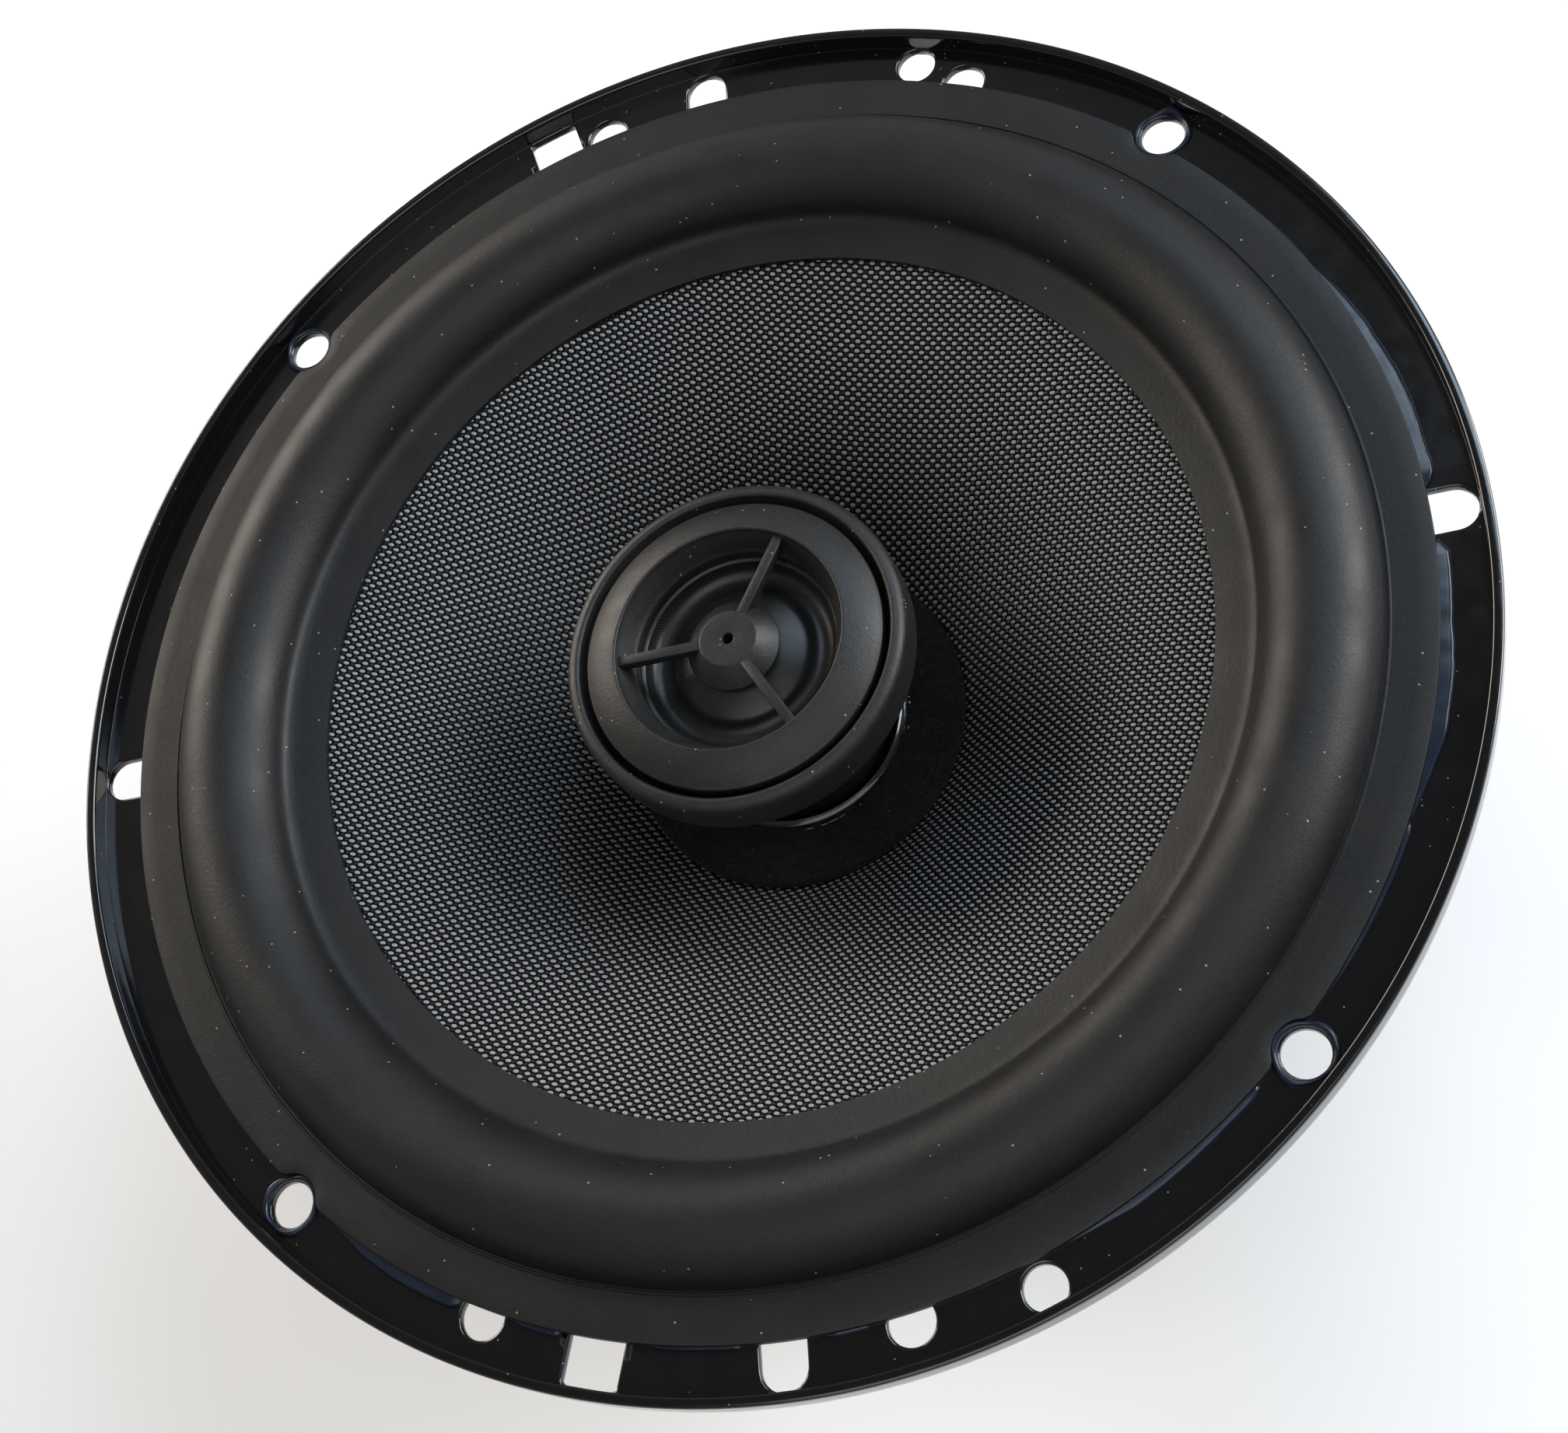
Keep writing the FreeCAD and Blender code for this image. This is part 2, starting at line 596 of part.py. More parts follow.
def diaphragm_ring():
    """Plastic ring that holds the diaphragm's rim above the cup."""
    seat = ring(RING_R[0], RING_R[1], RING_Z[0], RING_Z[1])
    wire_slot = box((0, RING_R[1] + CUT_MARGIN), (-WIRE_SLOT_HALF_WIDTH, WIRE_SLOT_HALF_WIDTH),
                    (RING_Z[0], RING_Z[0] + RING_SLOT_DEPTH))
    return seat.cut(turned(wire_slot, TWEETER_WIRE_ANGLE))


def tweeter_diaphragm():
    """Fabric dome, concave roll and flat rim, formed in one piece."""
    rim_z = GRILLE_BACK_Z
    dome_edge = (DOME_R, DOME_BASE_Z)
    apex = (0, DOME_BASE_Z + DOME_RISE)
    dome_arc_r = (DOME_R ** 2 + DOME_RISE ** 2) / (2 * DOME_RISE)
    half_way = (DOME_R / 2, apex[1] - dome_arc_r + math.sqrt(dome_arc_r ** 2 - DOME_R ** 2 / 4))
    roll_end = (RING_R[0], rim_z)
    roll_middle = bowed(dome_edge, roll_end, -ROLL_DIP)
    profile = [
        apex,
        (half_way, dome_edge),
        (roll_middle, roll_end),
        (RING_R[1], rim_z),
        lowered((RING_R[1], rim_z), DOME_T),
        lowered(roll_end, DOME_T),
        (lowered(roll_middle, DOME_T), lowered(dome_edge, DOME_T)),
        (lowered(half_way, DOME_T), lowered(apex, DOME_T)),
    ]
    return revolved(profile)


def tweeter_former():
    return ring(TWEETER_FORMER_R[0], TWEETER_FORMER_R[1], TWEETER_FORMER_BOTTOM_Z,
                DOME_BASE_Z - DOME_T)


def terminal_board():
    board = box(BOARD_X, (-BOARD_HALF_WIDTH, BOARD_HALF_WIDTH), (BOARD_Z, BLADE_Z))
    corners = [edge for edge in board.Edges if edge.BoundBox.ZLength > BOARD_T / 2]
    board = board.makeFillet(BOARD_CORNER_R, corners)
    height = BOARD_T + 2 * CUT_MARGIN
    holes = [Part.makeCylinder(SMALL_RIVET_R, height, centre)
             for centre in (V(BLADE_RIVET_X, BLADE_Y, BOARD_Z - CUT_MARGIN),
                            V(BLADE_RIVET_X, -BLADE_Y, BOARD_Z - CUT_MARGIN),
                            V(BOARD_RIVET_X, 0, BOARD_Z - CUT_MARGIN))]
    return board.cut(holes)


def terminal_blade(side, width):
    """Flat push-on blade along X, with a bevelled tip and a rivet hole."""
    half = width / 2
    y = side * BLADE_Y
    tip = BLADE_X[0]
    length, depth = BLADE_BEVEL
    edge = [(tip, half - depth), (tip + length, half), (BLADE_ROOT_X - length, half),
            (BLADE_ROOT_X, BLADE_ROOT_HALF_WIDTH), (BLADE_X[1], BLADE_ROOT_HALF_WIDTH)]
    corners = [V(x, y + w, BLADE_Z) for x, w in edge]
    corners += [V(x, y - w, BLADE_Z) for x, w in reversed(edge)]
    plate = Part.Face(Part.makePolygon(corners + corners[:1])).extrude(AXIS * BLADE_T)
    hole = Part.makeCylinder(SMALL_RIVET_R, BLADE_T, V(BLADE_RIVET_X, y, BLADE_Z))
    return plate.cut(hole)


def terminal_rivets():
    rivets = []
    for side in (-1, 1):
        rivets.append(rivet(V(BLADE_RIVET_X, side * BLADE_Y, 0), BOARD_Z, BLADE_Z + BLADE_T,
                            SMALL_RIVET_R, SMALL_RIVET_HEAD_R, SMALL_RIVET_HEAD_T))
    rivets.append(rivet(V(BOARD_RIVET_X, 0, 0), LANDING_Z - SHEET_T, BLADE_Z,
                        SMALL_RIVET_R, SMALL_RIVET_HEAD_R, SMALL_RIVET_HEAD_T))
    return Part.makeCompound(rivets)


def capacitor():
    """Small crossover capacitor, lying along X against a rivet behind the terminal board."""
    z = BOARD_Z - SMALL_RIVET_HEAD_T - CAPACITOR_R
    length = CAPACITOR_X[1] - CAPACITOR_X[0]
    can = Part.makeCylinder(CAPACITOR_R, length, V(CAPACITOR_X[0], CAPACITOR_Y, z), V(1, 0, 0))
    rims = [edge for edge in can.Edges if edge.BoundBox.XLength < 1e-6]
    return can.makeFillet(CAPACITOR_EDGE_R, rims)


def capacitor_leads():
    z = BOARD_Z - SMALL_RIVET_HEAD_T - CAPACITOR_R
    leads = []
    for end, outward in ((CAPACITOR_X[0], -1), (CAPACITOR_X[1], 1)):
        x = end + outward * LEAD_OVERHANG
        route = [V(end, CAPACITOR_Y, z), V(x, CAPACITOR_Y, z), V(x, CAPACITOR_Y, BOARD_Z)]
        leads.append(rounded_tube(route, WIRE_BEND_R, LEAD_WIRE_R))
    return Part.makeCompound(leads)


def tinsel_lead(side):
    """Flexible braid from a terminal blade, through a window, to the voice-coil former."""
    y = side * BLADE_Y
    former_x = -math.sqrt(FORMER_R[1] ** 2 - BLADE_Y ** 2)
    route = [V(TINSEL_STOPS[0][0], y, BLADE_Z + BLADE_T)]
    route += [V(x, y, z) for x, z in TINSEL_STOPS]
    route.append(V(former_x, y, TINSEL_FORMER_Z))
    return rounded_tube(route, TINSEL_BEND_R, TINSEL_R)


def tweeter_wire(side):
    """Insulated wire: tweeter, post, groove in the back plate, magnet edge, terminal board."""
    channel_r = (CUP_R[1] + RING_R[1]) / 2
    floor_z = HOUSING_FLOOR_Z - WIRE_LEDGE_DROP
    groove_z = BACK_Z + GROOVE_DEPTH / 2
    side_r = MAGNET_R[1] + WIRE_MAGNET_GAP
    upper_r = MAGNET_R[1] + WIRE_PLATE_GAP
    stops = [(channel_r, RING_Z[0]), (channel_r, floor_z), (WIRE_DROP_R, floor_z),
             (WIRE_DROP_R, groove_z), (MAGNET_R[1] - WIRE_RISE_INSET, groove_z),
             (side_r, BACK_PLATE_Z - TWEETER_WIRE_R), (side_r, MAGNET_Z),
             (upper_r, TOP_PLATE_Z - TWEETER_WIRE_R), (upper_r, BOARD_Z)]
    route = [V(r, side * TWEETER_WIRE_OFFSET, z) for r, z in stops]
    return turned(rounded_tube(route, WIRE_BEND_R, TWEETER_WIRE_R), TWEETER_WIRE_ANGLE)


NODES = {
    "basket": basket,
    "basket_rivets": basket_rivets,
    "top_plate": top_plate,
    "ferrite_magnet": ferrite_magnet,
    "pole_yoke": pole_yoke,
    "tweeter_post": tweeter_post,
    "post_sleeve": post_sleeve,
    "post_nut": post_nut,
    "tweeter_housing": tweeter_housing,
    "tweeter_grille": tweeter_grille,
    "tweeter_cup": tweeter_cup,
    "tweeter_magnet": tweeter_magnet,
    "tweeter_pole_piece": tweeter_pole_piece,
    "diaphragm_ring": diaphragm_ring,
    "tweeter_wire_positive": lambda: tweeter_wire(1),
    "tweeter_wire_negative": lambda: tweeter_wire(-1),
    "terminal_board": terminal_board,
    "terminal_positive": lambda: terminal_blade(1, BLADE_WIDTH_POSITIVE),
    "terminal_negative": lambda: terminal_blade(-1, BLADE_WIDTH_NEGATIVE),
    "terminal_rivets": terminal_rivets,
    "capacitor": capacitor,
    "capacitor_leads": capacitor_leads,
    "cone": cone,
    "surround": surround,
    "dust_ring": dust_ring,
    "voice_coil_former": lambda: ring(FORMER_R[0], FORMER_R[1], FORMER_Z[0], FORMER_Z[1]),
    "voice_coil_winding": lambda: ring(FORMER_R[1], WINDING_R, WINDING_Z[0], WINDING_Z[1]),
    "spider": spider,
    "tinsel_lead_positive": lambda: tinsel_lead(1),
    "tinsel_lead_negative": lambda: tinsel_lead(-1),
    "tweeter_diaphragm": tweeter_diaphragm,
    "tweeter_coil_former": tweeter_former,
    "tweeter_coil_winding": lambda: ring(TWEETER_FORMER_R[1], TWEETER_WINDING_R,
                                         TWEETER_WINDING_Z[0], TWEETER_WINDING_Z[1]),
}

os.makedirs("parts", exist_ok=True)
for name, make in NODES.items():
    shape = make()
    solids = len(shape.Solids)
    print(f"{name}: valid {shape.isValid()}, solids {solids}, volume {shape.Volume:.1f} mm3")
    shape.exportStep(f"parts/{name}.step")
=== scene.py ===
"""Looks of a coaxial car speaker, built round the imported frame. Metres, +Z towards the listener."""
import math
import random

import bmesh
import bpy
from mathutils import Matrix, Vector, noise


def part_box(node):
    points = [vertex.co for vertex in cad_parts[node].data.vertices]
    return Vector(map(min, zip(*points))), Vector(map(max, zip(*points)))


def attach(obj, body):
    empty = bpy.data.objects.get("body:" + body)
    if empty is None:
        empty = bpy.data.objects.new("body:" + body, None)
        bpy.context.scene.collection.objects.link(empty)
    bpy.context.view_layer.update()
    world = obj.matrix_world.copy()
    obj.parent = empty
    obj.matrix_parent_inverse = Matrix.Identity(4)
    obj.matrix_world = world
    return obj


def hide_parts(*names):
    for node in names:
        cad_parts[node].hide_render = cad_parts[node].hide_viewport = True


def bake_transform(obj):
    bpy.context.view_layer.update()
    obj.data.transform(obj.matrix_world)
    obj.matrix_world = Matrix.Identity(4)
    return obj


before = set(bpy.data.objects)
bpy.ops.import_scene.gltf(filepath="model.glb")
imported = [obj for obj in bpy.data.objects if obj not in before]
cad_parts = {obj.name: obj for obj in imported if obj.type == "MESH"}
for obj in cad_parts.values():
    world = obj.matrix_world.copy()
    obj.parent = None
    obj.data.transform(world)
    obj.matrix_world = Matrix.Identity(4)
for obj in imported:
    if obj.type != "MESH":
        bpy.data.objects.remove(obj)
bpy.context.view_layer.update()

MM = 0.001
FRAME_BODY = "frame"
CONE_BODY = "cone_assembly"
DOME_BODY = "tweeter_dome"
RNG = random.Random(7)


# --- sizes read from the frame

def low(node):
    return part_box(node)[0]


def high(node):
    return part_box(node)[1]


RIM_R = high("basket").x
RIM_TOP = high("basket").z
SHEET_T = 1.2 * MM
FLANGE_FRONT = SHEET_T
SURROUND_R = high("surround").x
SURROUND_CREST = high("surround").z
CONE_R = high("cone").x
CONE_TOP = high("cone").z
CONE_NECK = (12.95 * MM, low("cone").z + 0.5 * MM)
CONE_BULGE = 3.7 * MM
FELT_R = high("dust_ring").x
FELT_Z = (low("dust_ring").z, high("dust_ring").z)
FORMER_R = high("voice_coil_former").x
FORMER_TOP = high("voice_coil_former").z
HOUSING_R = high("tweeter_housing").x
HOUSING_Z = (low("tweeter_housing").z, high("tweeter_housing").z)
GRILLE_R = high("tweeter_grille").x
GRILLE_Z = (low("tweeter_grille").z, high("tweeter_grille").z)
DOME_RIM_R = high("tweeter_diaphragm").x
FLOOR_Z = low("pole_yoke").z


# --- camera, floor and light

CAMERA_AT = Vector((0.0763, -0.1213, 0.2365))
CAMERA_AIM = Vector((0.0046, -0.0087, 0.0012))
CAMERA_ROLL = math.radians(-40.11)
CAMERA_LENS = 56.42
FLOOR_HALF = 3.0


def make_camera():
    data = bpy.data.cameras.new("camera")
    data.lens = CAMERA_LENS
    data.sensor_width = 36
    data.clip_start = 0.01
    camera = bpy.data.objects.new("camera", data)
    bpy.context.scene.collection.objects.link(camera)
    level = (CAMERA_AIM - CAMERA_AT).to_track_quat("-Z", "Y").to_matrix().to_4x4()
    camera.matrix_world = Matrix.Translation(CAMERA_AT) @ level @ Matrix.Rotation(CAMERA_ROLL, 4, "Z")
    bpy.context.scene.camera = camera


def area_light(name, azimuth, elevation, distance, size, power, colour=(1, 1, 1)):
    """Soft rectangular lamp that faces the middle of the object, in degrees and metres."""
    data = bpy.data.lights.new(name, "AREA")
    data.shape = "RECTANGLE"
    data.size, data.size_y = size
    data.energy = power
    data.color = colour
    light = bpy.data.objects.new(name, data)
    bpy.context.scene.collection.objects.link(light)
    turn, lift = math.radians(azimuth), math.radians(elevation)
    at = polar(math.cos(lift), turn, math.sin(lift)) * distance
    light.location = at
    light.rotation_euler = (-at).to_track_quat("-Z", "Y").to_euler()


def make_stage():
    """White floor and a soft sky: warm on one side, cool on the other, and dimmer overhead."""
    world = bpy.data.worlds.new("studio")
    world.use_nodes = True
    bpy.context.scene.world = world
    nodes = Nodes(owner=world, shader="Background")
    where = nodes.add("SeparateXYZ", {0: nodes.add("TexCoord").outputs["Generated"]}).outputs
    rise = nodes.add("MapRange", {"Value": where["Z"], "From Min": 0.1, "From Max": 0.9,
                                  "To Min": 0.5, "To Max": 0.1}).outputs[0]
    side = nodes.add("MapRange", {"Value": where["X"], "From Min": -0.7, "From Max": 0.7}).outputs[0]
    nodes.surface(Color=nodes.mix(side, (1.0, 0.93, 0.86), (0.82, 0.91, 1.0)), Strength=rise)
    mesh = bpy.data.meshes.new("floor")
    corners = [(x * FLOOR_HALF, y * FLOOR_HALF, FLOOR_Z) for x, y in ((-1, -1), (1, -1), (1, 1), (-1, 1))]
    mesh.from_pydata(corners, [], [(0, 1, 2, 3)])
    floor = bpy.data.objects.new("floor", mesh)
    bpy.context.scene.collection.objects.link(floor)
    mesh.materials.append(floor_paper())
    bpy.context.scene.view_settings.view_transform = "Standard"


# --- material nodes

GRAIN_R = 0.13               # radius of a grain of dust, as a share of its cell


class Nodes:
    """Short names for building a material's node tree."""

    def __init__(self, name="", owner=None, shader="Principled BSDF"):
        self.material = owner or bpy.data.materials.new(name)
        self.material.use_nodes = True
        self.tree = self.material.node_tree
        self.shader = self.tree.nodes[shader]

    def add(self, kind, inputs=(), **settings):
        node = self.tree.nodes.new("ShaderNode" + kind)
        for key, value in settings.items():
            setattr(node, key, value)
        for socket, value in dict(inputs).items():
            self.set(node.inputs[socket], value)
        return node

    def set(self, socket, value):
        if isinstance(value, bpy.types.NodeSocket):
            self.tree.links.new(value, socket)
        else:
            socket.default_value = value

    def surface(self, **values):
        for key, value in values.items():
            self.set(self.shader.inputs[key.replace("_", " ")], value)

    def math(self, operation, *values):
        node = self.add("Math", operation=operation)
        for index, value in enumerate(values):
            self.set(node.inputs[index], value)
        return node.outputs[0]

    def place(self, scale=1.0):
        """Position on the piece, in millimetres times scale."""
        where = self.add("TexCoord").outputs["Object"]
        factor = 1000.0 * scale
        return self.add("VectorMath", {0: where, 1: (factor,) * 3}, operation="MULTIPLY").outputs[0]

    def noise(self, scale, detail=2.0, rough=0.5, where=None):
        """Noise with a grain of 1/scale mm."""
        where = where or self.place()
        node = self.add("TexNoise", {"Vector": where, "Scale": scale, "Detail": detail, "Roughness": rough})
        return node.outputs["Fac"]

    def ramp(self, value, *stops):
        """Colour ramp; each stop is (place, grey or colour)."""
        node = self.add("ValToRGB", {"Fac": value})
        points = node.color_ramp.elements
        while len(points) < len(stops):
            points.new(0.5)
        for point, (at, colour) in zip(points, stops):
            point.position = at
            shade = colour if isinstance(colour, tuple) else (colour,) * 3
            point.color = (*shade, 1)
        return node.outputs["Color"]

    def mix(self, factor, first, second, blend="MIX"):
        node = self.add("Mix", data_type="RGBA", blend_type=blend)
        self.set(node.inputs["Factor"], factor)
        for socket, value in ((node.inputs["A"], first), (node.inputs["B"], second)):
            self.set(socket, (*value, 1) if isinstance(value, tuple) else value)
        return node.outputs["Result"]

    def bump(self, height, depth_mm, strength=1.0, under=None):
        inputs = {"Height": height, "Distance": depth_mm * MM, "Strength": strength}
        if under is not None:
            inputs["Normal"] = under
        return self.add("Bump", inputs).outputs["Normal"]

    def specks(self, per_mm, share):
        """Mask of tiny dust grains: one cell in a few carries a grain."""
        cells = self.add("TexVoronoi", {"Vector": self.place(), "Scale": per_mm})
        lucky = self.math("GREATER_THAN", self.add("SeparateColor", {0: cells.outputs["Color"]}).outputs[0],
                          1.0 - share)
        close = self.math("LESS_THAN", cells.outputs["Distance"], GRAIN_R)
        return self.math("MULTIPLY", lucky, close)


def floor_paper():
    nodes = Nodes("floor_paper")
    tone = nodes.ramp(nodes.noise(0.02), (0.3, 0.93), (0.7, 0.96))
    nodes.surface(Base_Color=tone, Roughness=0.9, Emission_Color=(1.0, 1.0, 1.0, 1.0), Emission_Strength=0.1)
    return nodes.material


def gloss_paint():
    """Thick glossy black paint with orange peel and a little dust."""
    nodes = Nodes("gloss_paint")
    peel = nodes.bump(nodes.noise(0.55, 3.0), 0.03, 0.5)
    fine = nodes.bump(nodes.noise(6.0, 2.0), 0.004, 0.4, peel)
    dust = nodes.specks(1.4, 0.06)
    nodes.surface(Base_Color=nodes.mix(dust, (0.004, 0.004, 0.0045), (0.2, 0.2, 0.2)),
                  Roughness=nodes.ramp(nodes.noise(0.3, 4.0), (0.3, 0.10), (0.75, 0.2)),
                  Normal=fine,
                  Coat_Weight=0.5, Coat_Roughness=0.06)
    return nodes.material


def surround_rubber():
    nodes = Nodes("surround_rubber")
    grain = nodes.bump(nodes.noise(4.0, 5.0, 0.7), 0.04, 0.7)
    pebbles = nodes.bump(nodes.noise(1.7, 3.0, 0.6), 0.05, 0.55, grain)
    waves = nodes.bump(nodes.noise(0.12, 2.0), 0.12, 0.25, pebbles)
    dust = nodes.specks(1.1, 0.06)
    cloudy = nodes.mix(nodes.noise(0.06, 3.0), (0.004, 0.004, 0.0043), (0.0075, 0.0074, 0.0077))
    mottle = nodes.ramp(nodes.noise(2.0, 3.0, 0.7), (0.35, 0.0), (0.7, 0.5))
    base = nodes.mix(mottle, cloudy, (0.014, 0.0138, 0.0135))
    nodes.surface(Base_Color=nodes.mix(dust, base, (0.26, 0.25, 0.24)),
                  Roughness=nodes.ramp(nodes.noise(0.15, 3.0), (0.3, 0.42), (0.75, 0.54)),
                  Normal=waves,
                  Specular_IOR_Level=0.38)
    return nodes.material


def cement():
    """Clear-topped black contact cement; its blue tint is a painted reflection of the cool light."""
    nodes = Nodes("cement")
    waves = nodes.bump(nodes.noise(0.6, 2.0), 0.03, 0.2)
    # Painted reflection: the navy tint stands in for the cool light mirrored on the cement.
    tone = nodes.ramp(nodes.noise(0.1, 2.0), (0.35, (0.008, 0.012, 0.024)), (0.7, (0.013, 0.019, 0.036)))
    nodes.surface(Base_Color=tone, Roughness=nodes.ramp(nodes.noise(0.5), (0.3, 0.2), (0.8, 0.3)),
                  Normal=waves,
                  Specular_IOR_Level=0.4)
    return nodes.material


def satin_plastic():
    nodes = Nodes("satin_plastic")
    fine = nodes.bump(nodes.noise(5.0, 5.0, 0.7), 0.05, 0.8)
    grain = nodes.bump(nodes.noise(1.8, 3.0, 0.6), 0.05, 0.5, fine)
    dust = nodes.specks(1.2, 0.10)
    cloudy = nodes.mix(nodes.noise(0.2, 3.0), (0.008, 0.0079, 0.0077), (0.013, 0.0127, 0.0122))
    mottle = nodes.ramp(nodes.noise(2.5, 3.0, 0.7), (0.35, 0.0), (0.7, 0.5))
    base = nodes.mix(mottle, cloudy, (0.026, 0.0255, 0.0245))
    nodes.surface(Base_Color=nodes.mix(dust, base, (0.3, 0.29, 0.28)),
                  Roughness=nodes.ramp(nodes.noise(0.4, 3.0), (0.3, 0.34), (0.75, 0.46)),
                  Normal=grain,
                  Specular_IOR_Level=0.42)
    return nodes.material


def woven(name, angle, pitch, colours, roughness, depth_mm, gloss=0.4, neck_shade=None):
    """Plain weave seen along the axis: yarns cross at right angles and pass over and under.

    The last argument is (inner radius, outer radius, tone): painted shade darkens the cloth towards the
    middle, where the cone's neck lies in shadow.
    """
    nodes = Nodes(name)
    turned = nodes.add("VectorRotate", {"Vector": nodes.place(), "Angle": math.radians(-angle)})
    wander = nodes.add("TexNoise", {"Vector": nodes.place(), "Scale": 0.12, "Detail": 2.0})
    shift = nodes.add("VectorMath", {0: wander.outputs["Color"], 1: (0.35, 0.35, 0)}, operation="MULTIPLY")
    moved = nodes.add("VectorMath", {0: turned.outputs[0], 1: shift.outputs[0]}, operation="ADD")
    split = nodes.add("SeparateXYZ", {0: moved.outputs[0]})
    along = nodes.math("DIVIDE", split.outputs["X"], pitch[0])
    across = nodes.math("DIVIDE", split.outputs["Y"], pitch[1])

    def yarn(run, side):
        """Height of the yarns that run along run: round section across, waving over and under."""
        section = nodes.math("ABSOLUTE", nodes.math("SINE", nodes.math("MULTIPLY", side, math.pi)))
        section = nodes.math("POWER", section, 0.55)
        phase = nodes.math("ADD", run, nodes.math("FLOOR", side))
        wave = nodes.math("SINE", nodes.math("MULTIPLY", phase, math.pi))
        return section, wave

    warp_section, warp_wave = yarn(along, across)
    weft_section, weft_wave = yarn(across, along)
    warp = nodes.math("MULTIPLY", warp_section, nodes.math("MULTIPLY_ADD", warp_wave, 0.5, 0.5))
    weft = nodes.math("MULTIPLY", weft_section, nodes.math("MULTIPLY_ADD", weft_wave, -0.5, 0.5))
    height = nodes.math("MAXIMUM", nodes.math("MULTIPLY", warp, 1.15), weft)
    # Painted highlight: the yarns that run one way are coloured pale as a painted glint, and those that run
    # the other way darker as their unlit copy.
    gap, unlit_yarn, glint_yarn = colours
    under = nodes.mix(nodes.ramp(weft, (0.72, 0.0), (0.97, 1.0)), gap, unlit_yarn)
    lit = nodes.ramp(warp, (0.5, 0.0), (0.64, 1.0))
    patchy = nodes.mix(nodes.noise(0.05, 3.0), (0.75, 0.75, 0.78), (1.0, 1.0, 1.0))
    # Painted shade: the cloth is darkened towards the middle, where the cone's neck lies in shadow.
    if neck_shade:
        spot = nodes.add("VectorMath", {0: nodes.place(), 1: (1, 1, 0)}, operation="MULTIPLY").outputs[0]
        radius = nodes.add("VectorMath", {0: spot}, operation="LENGTH").outputs["Value"]
        unshaded = nodes.add("MapRange", {"Value": radius, "From Min": neck_shade[0], "From Max": neck_shade[1],
                                       "To Min": neck_shade[2], "To Max": 1.0}).outputs[0]
        patchy = nodes.mix(unshaded, (0.0, 0.0, 0.0), patchy)
    base = nodes.mix(lit, under, glint_yarn)
    tinted = nodes.mix(1.0, base, patchy, "MULTIPLY")
    threads = nodes.bump(nodes.noise(9.0, 2.0), 0.01, 0.3)
    nodes.surface(Base_Color=tinted, Roughness=nodes.ramp(height, (0.4, 1.0), (0.75, roughness)),
                  Normal=nodes.bump(height, depth_mm, 1.0, threads), Specular_IOR_Level=gloss)
    return nodes.material


def felt_wool():
    nodes = Nodes("felt_wool")
    fuzz = nodes.bump(nodes.noise(3.0, 6.0, 0.7), 0.35, 0.9)
    wool = nodes.ramp(nodes.noise(3.5, 6.0, 0.8), (0.42, 0.0008), (0.72, 0.016))
    tone = nodes.mix(nodes.specks(2.2, 0.05), wool, (0.12, 0.12, 0.12))
    nodes.surface(Base_Color=tone, Roughness=0.95, Normal=fuzz,
                  Specular_IOR_Level=0.1, Sheen_Weight=0.03, Sheen_Roughness=0.5)
    return nodes.material


def metal(name, tone, roughness, scratch=0.0, metallic=1.0):
    nodes = Nodes(name)
    edge = nodes.add("Bevel", {"Radius": 0.25 * MM}, samples=4).outputs["Normal"]
    grain = nodes.bump(nodes.noise(2.5, 4.0), 0.01, 0.25, edge)
    shade = nodes.mix(nodes.noise(0.12, 4.0), tuple(c * 0.75 for c in tone), tone)
    rough = nodes.ramp(nodes.noise(0.6, 5.0, 0.6), (0.3, max(0.05, roughness - 0.1)),
                       (0.75, roughness + scratch))
    nodes.surface(Base_Color=shade, Roughness=rough, Normal=grain, Metallic=metallic)
    return nodes.material


def board_fibre():
    """Brown resin-paper board with faint fibres."""
    nodes = Nodes("board_fibre")
    stretched = nodes.add("Mapping", {"Vector": nodes.place(), "Scale": (0.3, 2.0, 1)}).outputs[0]
    fibres = nodes.noise(1.5, 6.0, 0.7, stretched)
    tone = nodes.ramp(fibres, (0.35, (0.10, 0.045, 0.018)), (0.7, (0.17, 0.085, 0.035)))
    nodes.surface(Base_Color=tone, Roughness=nodes.ramp(fibres, (0.3, 0.42), (0.7, 0.6)),
                  Normal=nodes.bump(fibres, 0.03, 0.4))
    return nodes.material


def coloured_plastic(name, tone, roughness):
    nodes = Nodes(name)
    soft = nodes.noise(0.6, 3.0)
    shade = nodes.mix(soft, tuple(c * 0.8 for c in tone), tuple(c * 1.15 for c in tone))
    rough = nodes.ramp(soft, (0.3, roughness - 0.06), (0.75, roughness + 0.08))
    nodes.surface(Base_Color=shade, Roughness=rough, Normal=nodes.bump(nodes.noise(5.0), 0.01, 0.3))
    return nodes.material


def wound_wire():
    """Enamelled copper in close turns across the axis."""
    nodes = Nodes("wound_copper")
    level = nodes.add("SeparateXYZ", {0: nodes.place()}).outputs["Z"]
    turn = nodes.math("ABSOLUTE", nodes.math("SINE", nodes.math("MULTIPLY", level, math.pi / 0.25)))
    # Painted shade: the copper is darker between the turns and lighter on their crests.
    tone = nodes.ramp(turn, (0.1, (0.12, 0.03, 0.01)), (0.7, (0.5, 0.2, 0.09)))
    rough = nodes.ramp(nodes.noise(1.0), (0.3, 0.28), (0.7, 0.4))
    nodes.surface(Base_Color=tone, Metallic=0.9, Roughness=rough, Normal=nodes.bump(turn, 0.1, 0.8))
    return nodes.material


# --- mesh helpers

def polar(radius, angle, z=0.0):
    return Vector((radius * math.cos(angle), radius * math.sin(angle), z))


def bowed(start, end, bulge):
    """Middle of the arc from start to end that stands bulge above its chord."""
    across = (end[0] - start[0], end[1] - start[1])
    length = math.hypot(*across)
    return ((start[0] + end[0]) / 2 - bulge * across[1] / length,
            (start[1] + end[1]) / 2 + bulge * across[0] / length)


